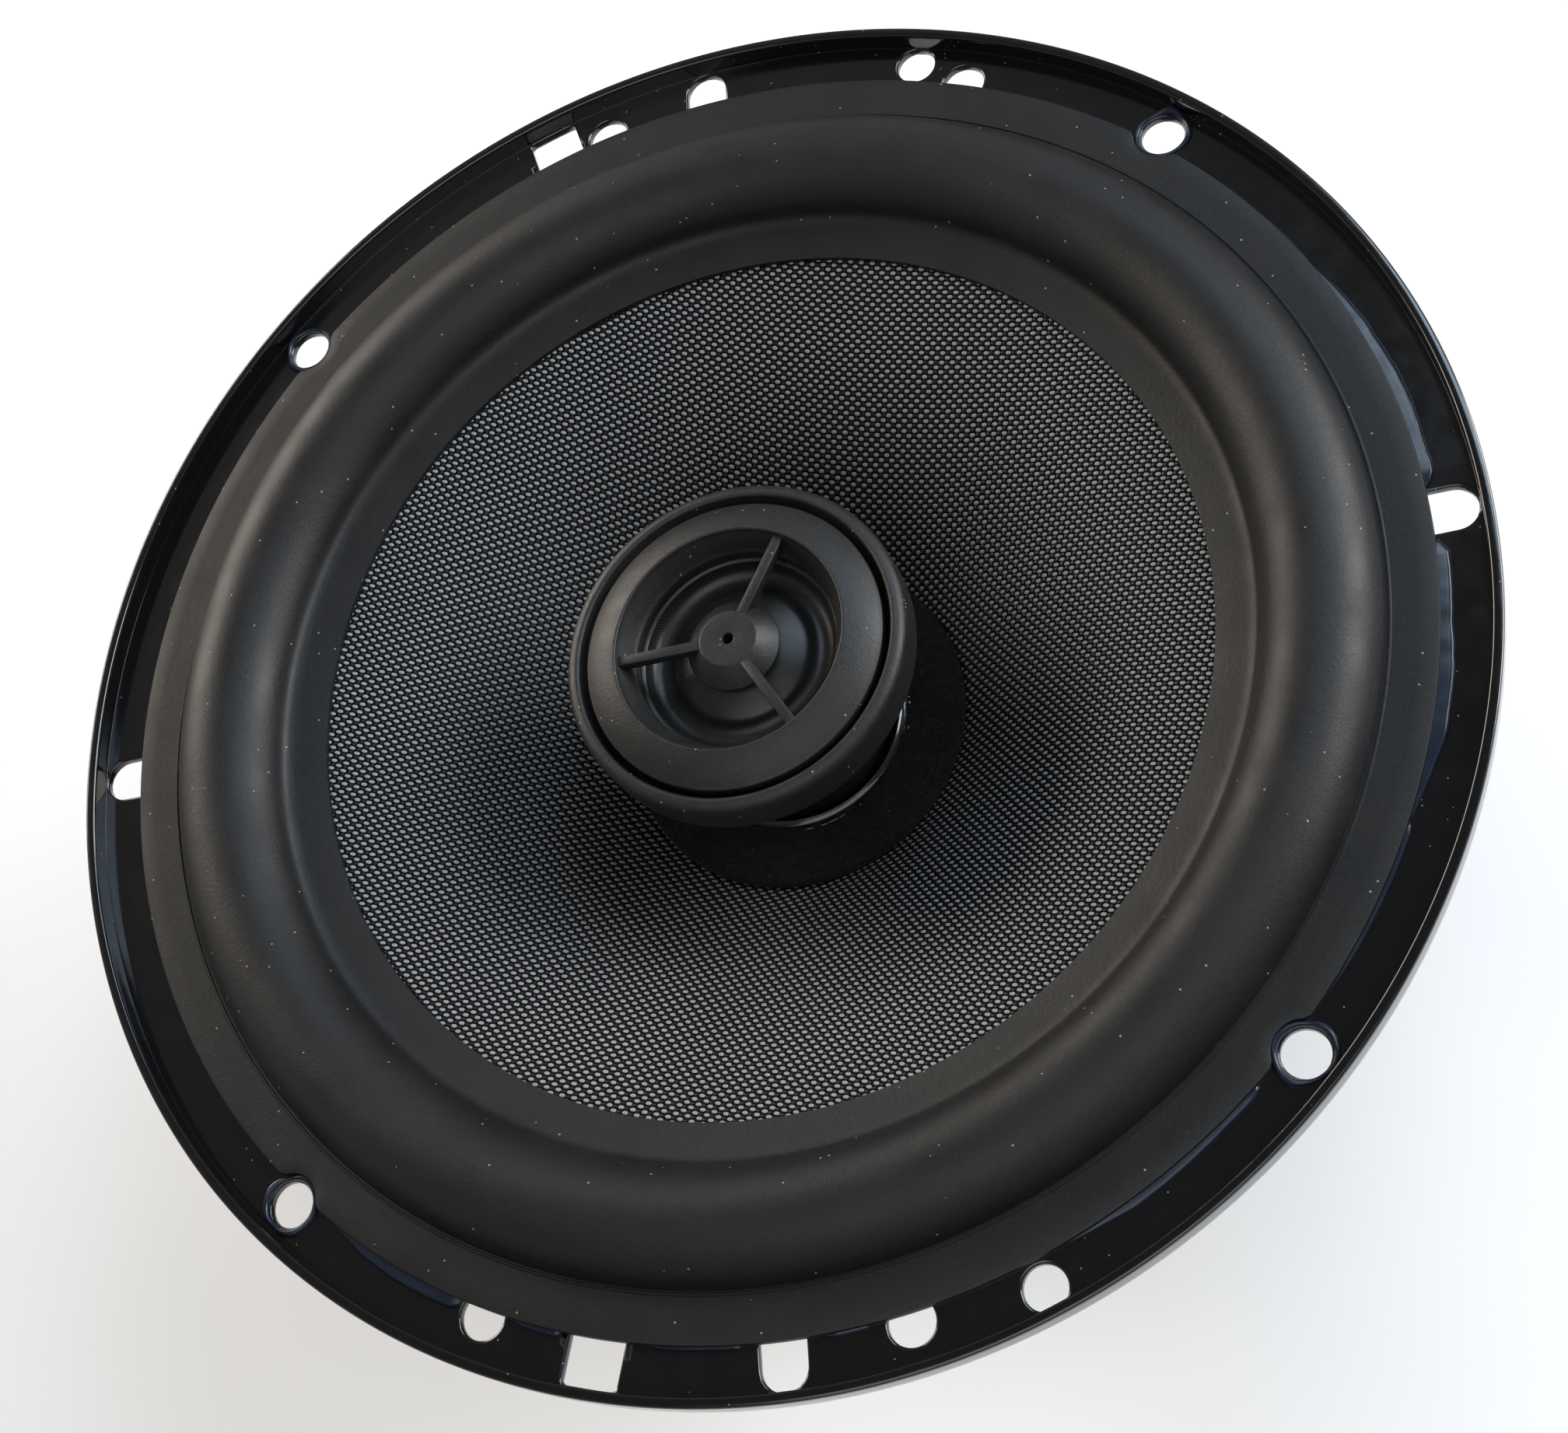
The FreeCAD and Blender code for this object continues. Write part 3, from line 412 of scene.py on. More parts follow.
def arc_points(start, middle, end, count):
    """Points on the circle through three points, without the first."""
    ax, ay = start
    bx, by = middle
    cx, cy = end
    cross = 2 * (ax * (by - cy) + bx * (cy - ay) + cx * (ay - by))
    a2, b2, c2 = ax * ax + ay * ay, bx * bx + by * by, cx * cx + cy * cy
    ux = (a2 * (by - cy) + b2 * (cy - ay) + c2 * (ay - by)) / cross
    uy = (a2 * (cx - bx) + b2 * (ax - cx) + c2 * (bx - ax)) / cross
    radius = math.hypot(ax - ux, ay - uy)
    first = math.atan2(ay - uy, ax - ux)
    sweep = (math.atan2(cy - uy, cx - ux) - first) % (2 * math.pi)
    inner = (math.atan2(by - uy, bx - ux) - first) % (2 * math.pi)
    if inner > sweep:
        sweep -= 2 * math.pi
    return [(ux + radius * math.cos(first + sweep * step / count),
             uy + radius * math.sin(first + sweep * step / count)) for step in range(1, count + 1)]


def softened(corners, steps=4):
    """Outline of (r, z, corner radius) in millimetres, with each corner rounded."""
    result = []
    count = len(corners)
    for index, (x, y, radius) in enumerate(corners):
        before = Vector(corners[index - 1][:2])
        here = Vector((x, y))
        after = Vector(corners[(index + 1) % count][:2])
        if radius <= 0:
            result.append((x, y))
            continue
        back, ahead = (before - here).normalized(), (after - here).normalized()
        half = back.angle(ahead) / 2
        reach = radius / math.tan(half)
        start, end = here + back * reach, here + ahead * reach
        bisector = (back + ahead).normalized()
        middle = here + bisector * (radius / math.sin(half) - radius)
        result.append(tuple(start))
        result += arc_points(tuple(start), tuple(middle), tuple(end), steps)
    return result


def in_metres(points):
    return [(r * MM, z * MM) for r, z in points]


def new_object(name, mesh, material):
    mesh.materials.append(material)
    mesh.shade_smooth()
    piece = bpy.data.objects.new(name, mesh)
    bpy.context.scene.collection.objects.link(piece)
    return piece


def skin(bm, rows, closed=True):
    """Faces between neighbouring rows of vertices; closed rows join their ends."""
    for row, after in zip(rows, rows[1:]):
        for k in range(len(row) if closed else len(row) - 1):
            other = (k + 1) % len(row)
            bm.faces.new([row[k], row[other], after[other], after[k]])


def finished_mesh(name, bm):
    mesh = bpy.data.meshes.new(name)
    bm.to_mesh(mesh)
    bm.free()
    return mesh


def lathe(name, profile, material, segments=192, shift=None):
    """Turns a closed profile of (r, z) in metres round the axis. shift(r, z, angle) may move each point."""
    bm = bmesh.new()
    rings = []
    for r, z in profile:
        if r < 1e-7:
            rings.append([bm.verts.new((0, 0, z))] * segments)
            continue
        loop = []
        for index in range(segments):
            angle = 2 * math.pi * index / segments
            radius, level = shift(r, z, angle) if shift else (r, z)
            loop.append(bm.verts.new(polar(radius, angle, level)))
        rings.append(loop)
    for inner, outer in zip(rings, rings[1:] + rings[:1]):
        for index in range(segments):
            after = (index + 1) % segments
            corners = [inner[index], inner[after], outer[after], outer[index]]
            corners = [v for k, v in enumerate(corners) if v not in corners[:k]]
            if len(corners) > 2:
                bm.faces.new(corners)
    bmesh.ops.recalc_face_normals(bm, faces=bm.faces)
    return new_object(name, finished_mesh(name, bm), material)


def block(size, centre, angle=0.0, edge=0.12 * MM):
    """Bar with rounded edges, turned round the axis, as a bmesh."""
    bm = bmesh.new()
    bmesh.ops.create_cube(bm, size=1.0)
    bmesh.ops.scale(bm, vec=size, verts=bm.verts)
    bmesh.ops.bevel(bm, geom=bm.edges, offset=edge, segments=2, profile=0.5, affect="EDGES")
    bmesh.ops.translate(bm, vec=centre, verts=bm.verts)
    bmesh.ops.rotate(bm, cent=(0, 0, 0), matrix=Matrix.Rotation(angle, 3, "Z"), verts=bm.verts)
    return bm


def add_parts(piece, parts):
    """Puts further closed bodies into a piece's mesh."""
    bm = bmesh.new()
    bm.from_mesh(piece.data)
    for part in parts:
        spare = finished_mesh("spare", part)
        bm.from_mesh(spare)
        bpy.data.meshes.remove(spare)
    bm.to_mesh(piece.data)
    bm.free()
    piece.data.shade_smooth()
    return piece


def sharp_by_angle(piece, degrees=35):
    """Keeps edges crisp where faces meet at more than an angle."""
    bm = bmesh.new()
    bm.from_mesh(piece.data)
    for edge in bm.edges:
        if len(edge.link_faces) == 2:
            edge.smooth = edge.calc_face_angle(0) < math.radians(degrees)
    bm.to_mesh(piece.data)
    bm.free()
    return piece


def settle(piece, body, slot, *nodes):
    """The piece rides on a body and stands for CAD nodes, which it hides. slot is not used."""
    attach(piece, body)
    if nodes:
        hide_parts(*nodes)


def smooth_step(value):
    value = min(1.0, max(0.0, value))
    return value * value * (3 - 2 * value)


def flex(piece, moving, slot, share, *nodes):
    """Bakes the piece's placement into its mesh, works out share(point) at each vertex, 0 on the frame and 1
    on the body, without keeping it, and hides the CAD nodes; the piece is not made to bend. moving and slot
    are not used.
    """
    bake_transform(piece)
    weights = [share(v.co) for v in piece.data.vertices]
    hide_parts(*nodes)


def cone_top(radius):
    """Height of the cone's front surface at a radius, both in metres."""
    rim = (CONE_R, CONE_TOP)
    crest = bowed(CONE_NECK, rim, CONE_BULGE)
    chord = math.hypot(rim[0] - CONE_NECK[0], rim[1] - CONE_NECK[1])
    arc_r = (chord ** 2 / 4 + CONE_BULGE ** 2) / (2 * CONE_BULGE)
    centre = (crest[0] + arc_r * (rim[1] - CONE_NECK[1]) / chord,
              crest[1] - arc_r * (rim[0] - CONE_NECK[0]) / chord)
    return centre[1] + math.sqrt(arc_r ** 2 - (radius - centre[0]) ** 2)


# --- basket

DIVISIONS = 576              # steps round the basket; every opening starts on a step
STEP = 2 * math.pi / DIVISIONS
SECTOR_HALF = math.radians(2.5)
EDGE = 0.3 * MM              # rounding of the sheet's cut edges
CROWDING = 1.4               # how much the rings of faces crowd towards an opening
WALL_HIGH = (66.3, -9.1)     # (r, z) in mm
WALL_LOW = (44.3, -29.7)
WINDOWS = 6
STRUT_HALF = 5.0 * MM
SCREW_R = 2.5 * MM
SCREW_CENTRE = 77.75 * MM
SCREW_TURNS = (45, 135, 225, 315)
LANDING_Z = low("spider").z
FLOOR_R = 14.2               # in mm


def round_hole(centre_r, radius):
    """Opening on the flange: its centre, and a test that is below 1 inside it."""
    def reach(r, t):
        return math.hypot(r - centre_r, t) / radius
    return centre_r, reach


def slot_hole(inner_r, outer_r, half):
    def reach(r, t):
        beyond = max(0.0, inner_r - r, r - outer_r)
        return math.hypot(beyond, t) / half
    return (inner_r + outer_r) / 2, reach


def rounded_box(dr, dt, corner):
    """Below 1 inside a box with rounded corners; dr and dt are distances beyond its sides."""
    dr, dt = dr + corner, dt + corner
    return (math.hypot(max(dr, 0), max(dt, 0)) + min(max(dr, dt), 0)) / corner


def key_hole(inner_r, outer_r, half, corner):
    middle = (inner_r + outer_r) / 2

    def reach(r, t):
        return rounded_box(abs(r - middle) - (outer_r - inner_r) / 2, abs(t) - half, corner)
    return middle, reach


def window_hole(inner_r, outer_r, half_angle, strut_half, corner):
    """Window between two straight struts."""
    middle = (inner_r + outer_r) / 2

    def reach(r, t):
        gap = math.sin(half_angle) * r - math.cos(half_angle) * abs(t) - strut_half
        return rounded_box(abs(math.hypot(r, t) - middle) - (outer_r - inner_r) / 2, -gap, corner)
    return middle, reach


def edge_of(reach, centre, towards):
    """Point between centre and towards where the opening ends."""
    near, far = 0.0, 1.0
    for _ in range(30):
        half = (near + far) / 2
        point = centre.lerp(towards, half)
        if reach(point.x, point.y) < 1:
            near = half
        else:
            far = half
    return centre.lerp(towards, near)


def cut_edge(thickness, steps=3):
    """(how far back from the edge, how high above the middle) over a rounded cut edge."""
    turn = [math.pi / 2 * k / steps for k in range(steps + 1)]
    upper = [(EDGE * (1 - math.sin(a)), thickness / 2 - EDGE * (1 - math.cos(a))) for a in turn]
    return upper + [(back, -height) for back, height in reversed(upper)]


class Sheet:
    """Pressed sheet with two faces, built from the profile of its middle surface."""

    def __init__(self, thickness):
        self.bm = bmesh.new()
        self.half = thickness / 2
        self.edge = cut_edge(thickness)

    def vertex(self, r, angle, z, normal, height):
        radius, level = r + normal[0] * height, z + normal[1] * height
        return self.bm.verts.new(polar(radius, angle, level))

    def patch(self, rows):
        skin(self.bm, rows, closed=False)

    def plain(self, path, first, last):
        """Both faces of an unpierced stretch; path is a list of (r, z, normal)."""
        for height in (self.half, -self.half):
            self.patch([[self.vertex(r, STEP * k, z, normal, height) for k in range(first, last + 1)]
                        for r, z, normal in path])

    def lip(self, end, before):
        """Rounded free edge all round, at the end of the profile."""
        r, z, normal = end
        out = Vector((r - before[0], z - before[1])).normalized()
        rows = []
        for back, height in self.edge:
            rows.append([self.vertex(r - out.x * back, STEP * k, z - out.y * back, normal, height)
                         for k in range(DIVISIONS + 1)])
        self.patch(rows)

    def pierced(self, path, first, last, opening, rings):
        """Stretch with one opening at its middle angle."""
        middle = STEP * (first + last) / 2
        centre_r, reach = opening
        centre = polar(centre_r, 0.0)
        border = [(path[0], k) for k in range(first, last)]
        border += [(p, last) for p in path[:-1]]
        border += [(path[-1], k) for k in range(last, first, -1)]
        border += [(p, first) for p in reversed(path[1:])]
        rows = []
        for (r, z, normal), k in border:
            angle = STEP * k - middle
            outer = polar(r, angle)
            hole = edge_of(reach, centre, outer)
            inward = (hole - outer).normalized()
            inner = hole - inward * EDGE
            shares = [1 - (1 - ring / rings) ** CROWDING for ring in range(rings)]
            face = [(outer.lerp(inner, share), self.half) for share in shares]
            rim = [(hole - inward * back, height) for back, height in self.edge]
            row = face + rim + [(p, -height) for p, height in reversed(face)]
            rows.append([self.on(path, p, height, middle) for p, height in row])
        self.patch(rows + rows[:1])

    def on(self, path, point, height, middle):
        radius = point.length
        index = 0
        while index < len(path) - 2 and radius > path[index + 1][0]:
            index += 1
        (r0, z0, n0), (r1, z1, n1) = path[index], path[index + 1]
        share = min(1.0, max(0.0, (radius - r0) / (r1 - r0)))
        normal = (n0[0] + share * (n1[0] - n0[0]), n0[1] + share * (n1[1] - n0[1]))
        angle = middle + math.atan2(point.y, point.x)
        return self.vertex(radius, angle, z0 + share * (z1 - z0), normal, height)

    def mesh(self, name):
        bmesh.ops.remove_doubles(self.bm, verts=self.bm.verts, dist=0.002 * MM)
        bmesh.ops.recalc_face_normals(self.bm, faces=self.bm.faces)
        return finished_mesh(name, self.bm)


def straight(start, end, count):
    """Points from start to end, without the first."""
    return [(start[0] + (end[0] - start[0]) * k / count, start[1] + (end[1] - start[1]) * k / count)
            for k in range(1, count + 1)]


def with_normals(sections):
    """The same sections, which share their end points, with the sheet's normal at each point."""
    path = [sections[0][0]] + [p for section in sections for p in section[1:]]
    normals = []
    for index in range(len(path)):
        before, after = path[max(0, index - 1)], path[min(len(path) - 1, index + 1)]
        dr, dz = after[0] - before[0], after[1] - before[1]
        length = math.hypot(dr, dz)
        normals.append((-dz / length, dr / length))
    result = []
    start = 0
    for section in sections:
        result.append([(r, z, normals[start + k]) for k, (r, z) in enumerate(section)])
        start += len(section) - 1
    return result


def basket_sections():
    """Profile from the floor's hole out to the rim's free edge, in metres."""
    half = SHEET_T / MM / 2
    flange_z = FLANGE_FRONT / MM - half
    rim_r = RIM_R / MM - half
    landing = LANDING_Z / MM - half
    floor_z = low("basket").z / MM + half
    foot = [(FLOOR_R, floor_z)]
    foot += straight(foot[-1], (33.6, floor_z), 5)
    foot += arc_points(foot[-1], (34.75, floor_z + 0.4), (35.3, floor_z + 1.4), 5)
    foot += straight(foot[-1], (36.1, landing - 1.3), 4)
    foot += arc_points(foot[-1], (36.6, landing - 0.35), (37.7, landing), 5)
    foot += straight(foot[-1], (41.2, landing), 3)
    foot += arc_points(foot[-1], (42.8, landing + 0.45), WALL_LOW, 5)
    wall = [WALL_LOW] + straight(WALL_LOW, WALL_HIGH, 18)
    neck = [WALL_HIGH] + arc_points(WALL_HIGH, (67.3, -8.75), (68.6, -8.5), 3)
    neck += arc_points(neck[-1], (70.3, -7.7), (71.0, -6.0), 5)
    neck += straight(neck[-1], (71.0, flange_z - 0.95), 5)
    neck += arc_points(neck[-1], (71.28, flange_z - 0.28), (71.95, flange_z), 5)
    flange = [neck[-1]] + straight(neck[-1], (81.25, flange_z), 14)
    rim = [flange[-1]] + arc_points(flange[-1], (rim_r - 0.19, flange_z + 0.19), (rim_r, flange_z + 0.65), 5)
    rim += straight(rim[-1], (rim_r, RIM_TOP / MM), 4)
    return with_normals([in_metres(section) for section in (foot, wall, neck, flange, rim)])


def flange_openings():
    """(step at the middle, opening) in order round the flange."""
    many = [(SCREW_TURNS, round_hole(SCREW_CENTRE, SCREW_R)),
            ((65, 100, 245, 280), round_hole(76.9 * MM, SCREW_R)),
            ((70, 290), round_hole(78.9 * MM, 2.3 * MM)),
            ((0, 90, 180, 270), slot_hole(74.8 * MM, 78.6 * MM, SCREW_R)),
            ((105, 255), key_hole(75.0 * MM, 81.1 * MM, 3.1 * MM, 0.35 * MM))]
    found = [(round(math.radians(angle) / STEP), shape) for angles, shape in many for angle in angles]
    return sorted(found, key=lambda pair: pair[0])


def make_basket(material):
    foot, wall, neck, flange, rim = basket_sections()
    sheet = Sheet(SHEET_T)
    sheet.plain(foot_end(foot, first=True), 0, DIVISIONS)
    sheet.lip(foot[0], foot[1])
    sector = DIVISIONS // WINDOWS
    window = window_hole(47.5 * MM, 64.5 * MM, math.pi / WINDOWS, STRUT_HALF, 4.0 * MM)
    for index in range(WINDOWS):
        sheet.pierced(wall, index * sector - sector // 2, index * sector + sector // 2, window, rings=6)
    sheet.plain(neck, 0, DIVISIONS)
    half = round(SECTOR_HALF / STEP)
    openings = flange_openings()
    for index, (step, shape) in enumerate(openings):
        sheet.pierced(flange, step - half, step + half, shape, rings=4)
        following = openings[(index + 1) % len(openings)][0]
        if index == len(openings) - 1:
            following += DIVISIONS
        if following - half > step + half:
            sheet.plain(flange, step + half, following - half)
    sheet.plain(foot_end(rim, first=False), 0, DIVISIONS)
    sheet.lip(rim[-1], rim[-2])
    piece = new_object("basket_shell", sheet.mesh("basket_shell"), material)
    tab = block((16.4 * MM, 8.0 * MM, SHEET_T), (-50.0 * MM, 0, LANDING_Z - SHEET_T / 2), edge=0.25 * MM)
    return add_parts(piece, [tab])


def foot_end(path, first):
    """The profile cut short by the rounded edge at its free end."""
    end, inner = (path[0], path[1]) if first else (path[-1], path[-2])
    dr, dz = inner[0] - end[0], inner[1] - end[1]
    back = EDGE / math.hypot(dr, dz)
    cut = (end[0] + dr * back, end[1] + dz * back, end[2])
    return [cut] + path[1:] if first else path[:-1] + [cut]


# --- cone, surround and spider

NOTCH_R = 3.3 * MM           # the surround is cut back in a circle round each screw hole
NOTCH_ANGLES = tuple(math.radians(a) for a in SCREW_TURNS)
ROLL_FEET = (57.6 * MM, 70.7 * MM)
LIP_R = 52.8 * MM
LIP_T = 0.6 * MM
ROLL_T = 0.8 * MM
LIP_STEPS = 8
ROLL_STEPS = 36
SEAT_Z = FLANGE_FRONT


def notch_edge(angle):
    """Radius at which the surround ends."""
    for centre in NOTCH_ANGLES:
        away = abs((angle - centre + math.pi) % (2 * math.pi) - math.pi)
        inside = NOTCH_R ** 2 - (SCREW_CENTRE * math.sin(away)) ** 2
        if away < 0.1 and inside > 0:
            return min(SURROUND_R, SCREW_CENTRE * math.cos(away) - math.sqrt(inside))
    return SURROUND_R


def notched(r, z, angle):
    """Draws the outer flat in at the notches."""
    start = ROLL_FEET[1] + 1.0 * MM
    if r <= start:
        return r, z
    return start + (r - start) * (notch_edge(angle) - start) / (SURROUND_R - start), z


def roll_share(point):
    """How far a point on the surround follows the cone."""
    radius = math.hypot(point.x, point.y)
    return 1 - smooth_step((radius - ROLL_FEET[0]) / (ROLL_FEET[1] - ROLL_FEET[0]))


def make_surround(material):
    crest_r = sum(ROLL_FEET) / 2
    seat = SEAT_Z + ROLL_T
    top = [LIP_R + (ROLL_FEET[0] - LIP_R) * k / LIP_STEPS for k in range(LIP_STEPS + 1)]
    lip_top = [(r, cone_top(r) + LIP_T) for r in top]
    foot_in, foot_out = lip_top[-1], (ROLL_FEET[1], seat)
    upper = lip_top + arc_points(foot_in, (crest_r, SURROUND_CREST), foot_out, ROLL_STEPS)
    upper = eased(upper, LIP_STEPS, 4)
    ridge = ((0.25, 0.01), (0.32, 0.14), (0.5, 0.14), (0.62, 0.0))
    upper += [(ROLL_FEET[1] + out * MM, seat + up * MM) for out, up in ridge]
    upper += [(72.0 * MM, seat), (74.0 * MM, seat), (SURROUND_R - 0.3 * MM, seat),
              (SURROUND_R - 0.08 * MM, seat - 0.08 * MM), (SURROUND_R, seat - 0.3 * MM), (SURROUND_R, SEAT_Z)]
    under_in = (ROLL_FEET[0] + 0.1 * MM, cone_top(ROLL_FEET[0]) + 0.02 * MM)
    under_out = (ROLL_FEET[1] - 0.1 * MM, SEAT_Z)
    arc = arc_points(under_out, (crest_r, SURROUND_CREST - ROLL_T), under_in, ROLL_STEPS)
    lower = [(ROLL_FEET[1] + 0.6 * MM, SEAT_Z), under_out] + arc
    lower += [(r, cone_top(r) + 0.01 * MM) for r in reversed(top[:-1])]
    piece = lathe("surround_rubber", upper + lower, material, segments=720, shift=notched)
    return sharp_by_angle(piece, 40)


BEADS = ((2.3, 26, 1.5), (26, 41, 0.35), (49, 62, 0.25), (72.8, 87, 0.3), (93, 97, 0.25), (108, 131, 0.25),
         (139, 177, 0.3), (183, 221, 0.3), (228.5, 243, 1.3), (247.2, 252, 0.6), (258, 267, 0.45),
         (273, 277, 0.4), (292.5, 311, 0.9), (319, 334, 0.5), (334, 357.5, 1.7))
BEAD_WELL = 0.35 * MM        # how far the cement reaches in under the surround's edge
BEAD_STEPS = 12


def make_beads(material):
    """Cement squeezed out along the surround's edge: (from, to, widest) in degrees and mm."""
    bm = bmesh.new()
    for start, end, widest in BEADS:
        first, last = math.radians(start), math.radians(end)
        steps = max(12, int((last - first) * 78 / 0.5))
        rings = []
        for k in range(steps + 1):
            share = k / steps
            angle = first + (last - first) * share
            from_slot = share if start < 180 else 1 - share
            ends = min(1.0, 16 * from_slot + 0.3, 3 * (1 - from_slot) + 0.06)
            drift = noise.noise(polar(9, angle, widest))
            ripple = noise.noise(polar(40, angle, widest))
            width = widest * MM * ends * (0.85 + 0.3 * drift + 0.07 * ripple)
            height = (0.34 + 0.16 * widest) * MM * (0.5 + 0.5 * ends) * (1 + 0.06 * ripple)
            inner = notch_edge(angle) - BEAD_WELL
            outer = notch_edge(angle) + max(0.08 * MM, width)
            section = [(inner, SEAT_Z), (inner, SEAT_Z + height * 0.9)]
            for j in range(1, BEAD_STEPS + 1):
                turn = j / BEAD_STEPS
                slope = (1 - 0.35 * turn) * (1 - turn ** 10)
                section.append((inner + (outer - inner) * turn, SEAT_Z + height * slope))
            rings.append([bm.verts.new(polar(r, angle, z)) for r, z in section])
        skin(bm, rings)
        bm.faces.new(rings[0])
        bm.faces.new(list(reversed(rings[-1])))
    for angle in NOTCH_ANGLES:
        add_collar(bm, polar(SCREW_CENTRE, angle), angle)
    bmesh.ops.recalc_face_normals(bm, faces=bm.faces)
    return new_object("glue_beads", finished_mesh("glue_beads", bm), material)


def add_collar(bm, centre, seed):
    """Uneven collar of cement round one screw hole."""
    steps, sides = 72, 10
    rings = []
    for k in range(steps):
        turn = 2 * math.pi * k / steps
        swell = noise.noise(polar(1.1, turn, seed * 5))
        inner = (2.62 + 0.1 * swell) * MM
        width = (0.75 + 0.5 * swell) * MM
        height = (0.45 + 0.35 * swell) * MM
        ring = []
        for j in range(sides + 1):
            across = j / sides
            lift = height * math.sin(math.pi * across) ** 0.6
            reach = inner + width * across
            ring.append(bm.verts.new(centre + polar(reach, turn, SEAT_Z + lift)))
        rings.append(ring)
    skin(bm, rings + rings[:1])


def eased(points, corner, reach):
    """Smooths a kink in an outline by averaging the points round it a few times."""
    points = list(points)
    for _ in range(3):
        fresh = list(points)
        for k in range(corner - reach + 1, corner + reach):
            r = (points[k - 1][0] + 2 * points[k][0] + points[k + 1][0]) / 4
            z = (points[k - 1][1] + 2 * points[k][1] + points[k + 1][1]) / 4
            fresh[k] = (r, z)
        points = fresh
    return points


CONE_T = 0.425 * MM
SLOPE_STEP = 0.1 * MM


def make_cone(material):
    steps = 48
    radii = [CONE_NECK[0] + (CONE_R - CONE_NECK[0]) * k / steps for k in range(steps + 1)]
    upper = [(r, cone_top(r)) for r in radii]
    lower = []
    for r, z in reversed(upper):
        ahead = min(r + SLOPE_STEP, CONE_R)
        slope = (cone_top(ahead) - cone_top(ahead - SLOPE_STEP)) / SLOPE_STEP
        lower.append((r, z - CONE_T * math.sqrt(1 + slope * slope)))
    return lathe("cone_weave", upper + lower, material, segments=288)


def make_felt(material):
    """Thick felt ring with a fuzzy face."""
    z0, z1 = FELT_Z
    top = z1 + 0.1 * MM
    inner = FORMER_R + 0.1 * MM
    outer = FELT_R - 0.1 * MM
    profile = softened([(inner / MM, z0 / MM + 0.05, 0), (outer / MM, z0 / MM + 0.05, 0.1),
                        (outer / MM - 0.1, top / MM, 0.35), (inner / MM, top / MM, 0.3)], 5)
    dense = []
    for point, after in zip(profile, profile[1:] + profile[:1]):
        dense.append(point)
        gap = math.hypot(after[0] - point[0], after[1] - point[1])
        if gap > 0.5:
            dense += straight(point, after, int(gap / 0.22))[:-1]

    def fuzzy(r, z, angle):
        if z < z1 - 0.3 * MM:
            return r, z
        spot = polar(r, angle)
        lump = 0.09 * noise.noise(spot / (1.3 * MM)) + 0.07 * noise.noise(spot / (0.45 * MM))
        return r, z + lump * MM
    piece = lathe("felt_ring", in_metres(dense), material, segments=360, shift=fuzzy)
    return add_parts(piece, [fibre(inner, outer, top) for _ in range(500)])


def fibre(inner, outer, level):
    """One loose wool hair that lies on the felt."""
    radius = RNG.uniform(inner + 0.5 * MM, outer - 0.4 * MM)
    angle = RNG.uniform(0, 2 * math.pi)
    heading = RNG.uniform(0, 2 * math.pi)
    length = RNG.uniform(0.7, 2.0) * MM
    bend = RNG.uniform(-1.5, 1.5)
    steps = 5
    point = polar(radius, angle, level)
    path = []
    for k in range(steps + 1):
        share = k / steps
        height = math.sin(math.pi * share) * 0.28 * MM
        spot = point + Vector((0, 0, height))
        reach = math.hypot(spot.x, spot.y)
        if reach > outer or reach < inner:
            spot *= min(outer, max(inner, reach)) / reach
            spot.z = level + height
        path.append(spot)
        point = point + polar(length / steps, heading)
        heading += bend / steps
    return tube(path, 0.022 * MM, 4)


def tube(path, radius, sides):
    """Round wire along a path, as a bmesh."""
    bm = bmesh.new()
    rings = []
    across = None
    for k, point in enumerate(path):
        ahead = (path[min(k + 1, len(path) - 1)] - path[max(k - 1, 0)]).normalized()
        if across is None:
            across = ahead.orthogonal().normalized()
        across = (across - ahead * across.dot(ahead)).normalized()
        other = ahead.cross(across)
        rings.append([bm.verts.new(point + (across * math.cos(t) + other * math.sin(t)) * radius)
                      for t in (2 * math.pi * j / sides for j in range(sides))])
    skin(bm, rings)
    bm.faces.new(list(reversed(rings[0])))
    bm.faces.new(rings[-1])
    return bm


def make_former(material):
    low_z = low("voice_coil_former").z
    inner = FORMER_R - 0.25 * MM
    profile = softened([(inner / MM, low_z / MM, 0.05), (FORMER_R / MM, low_z / MM, 0.05),
                        (FORMER_R / MM, FORMER_TOP / MM, 0.11), (inner / MM, FORMER_TOP / MM, 0.11)], 3)
    return lathe("coil_former", in_metres(profile), material, segments=192)


GLUE_WIDTH = 1.3 * MM


def make_former_glue(material):
    """Shiny cement between the former and the felt."""
    top = FELT_Z[1] + 0.1 * MM
    outer = FORMER_R + GLUE_WIDTH

    def uneven(r, z, angle):
        if z < top:
            return r, z
        swell = 0.5 + 0.5 * noise.noise(polar(3, angle))
        share = (r - FORMER_R) / GLUE_WIDTH
        return FORMER_R + (r - FORMER_R) * (0.75 + 0.4 * swell), z - 0.1 * MM * swell * share
    profile = [(FORMER_R - 0.02 * MM, top - 0.2 * MM), (outer, top - 0.2 * MM), (outer, top + 0.03 * MM)]
    profile += arc_points(profile[-1], (FORMER_R + 0.42 * MM, top + 0.16 * MM),
                          (FORMER_R - 0.02 * MM, top + 0.5 * MM), 7)
    return lathe("former_glue", profile, material, segments=240, shift=uneven)


WAVE_START = 16.4 * MM
WAVE_SPAN = 20.0 * MM
HALF_WAVES = 10
SPIDER_T = 0.5 * MM          # in the CAD; the cloth itself is a little thinner


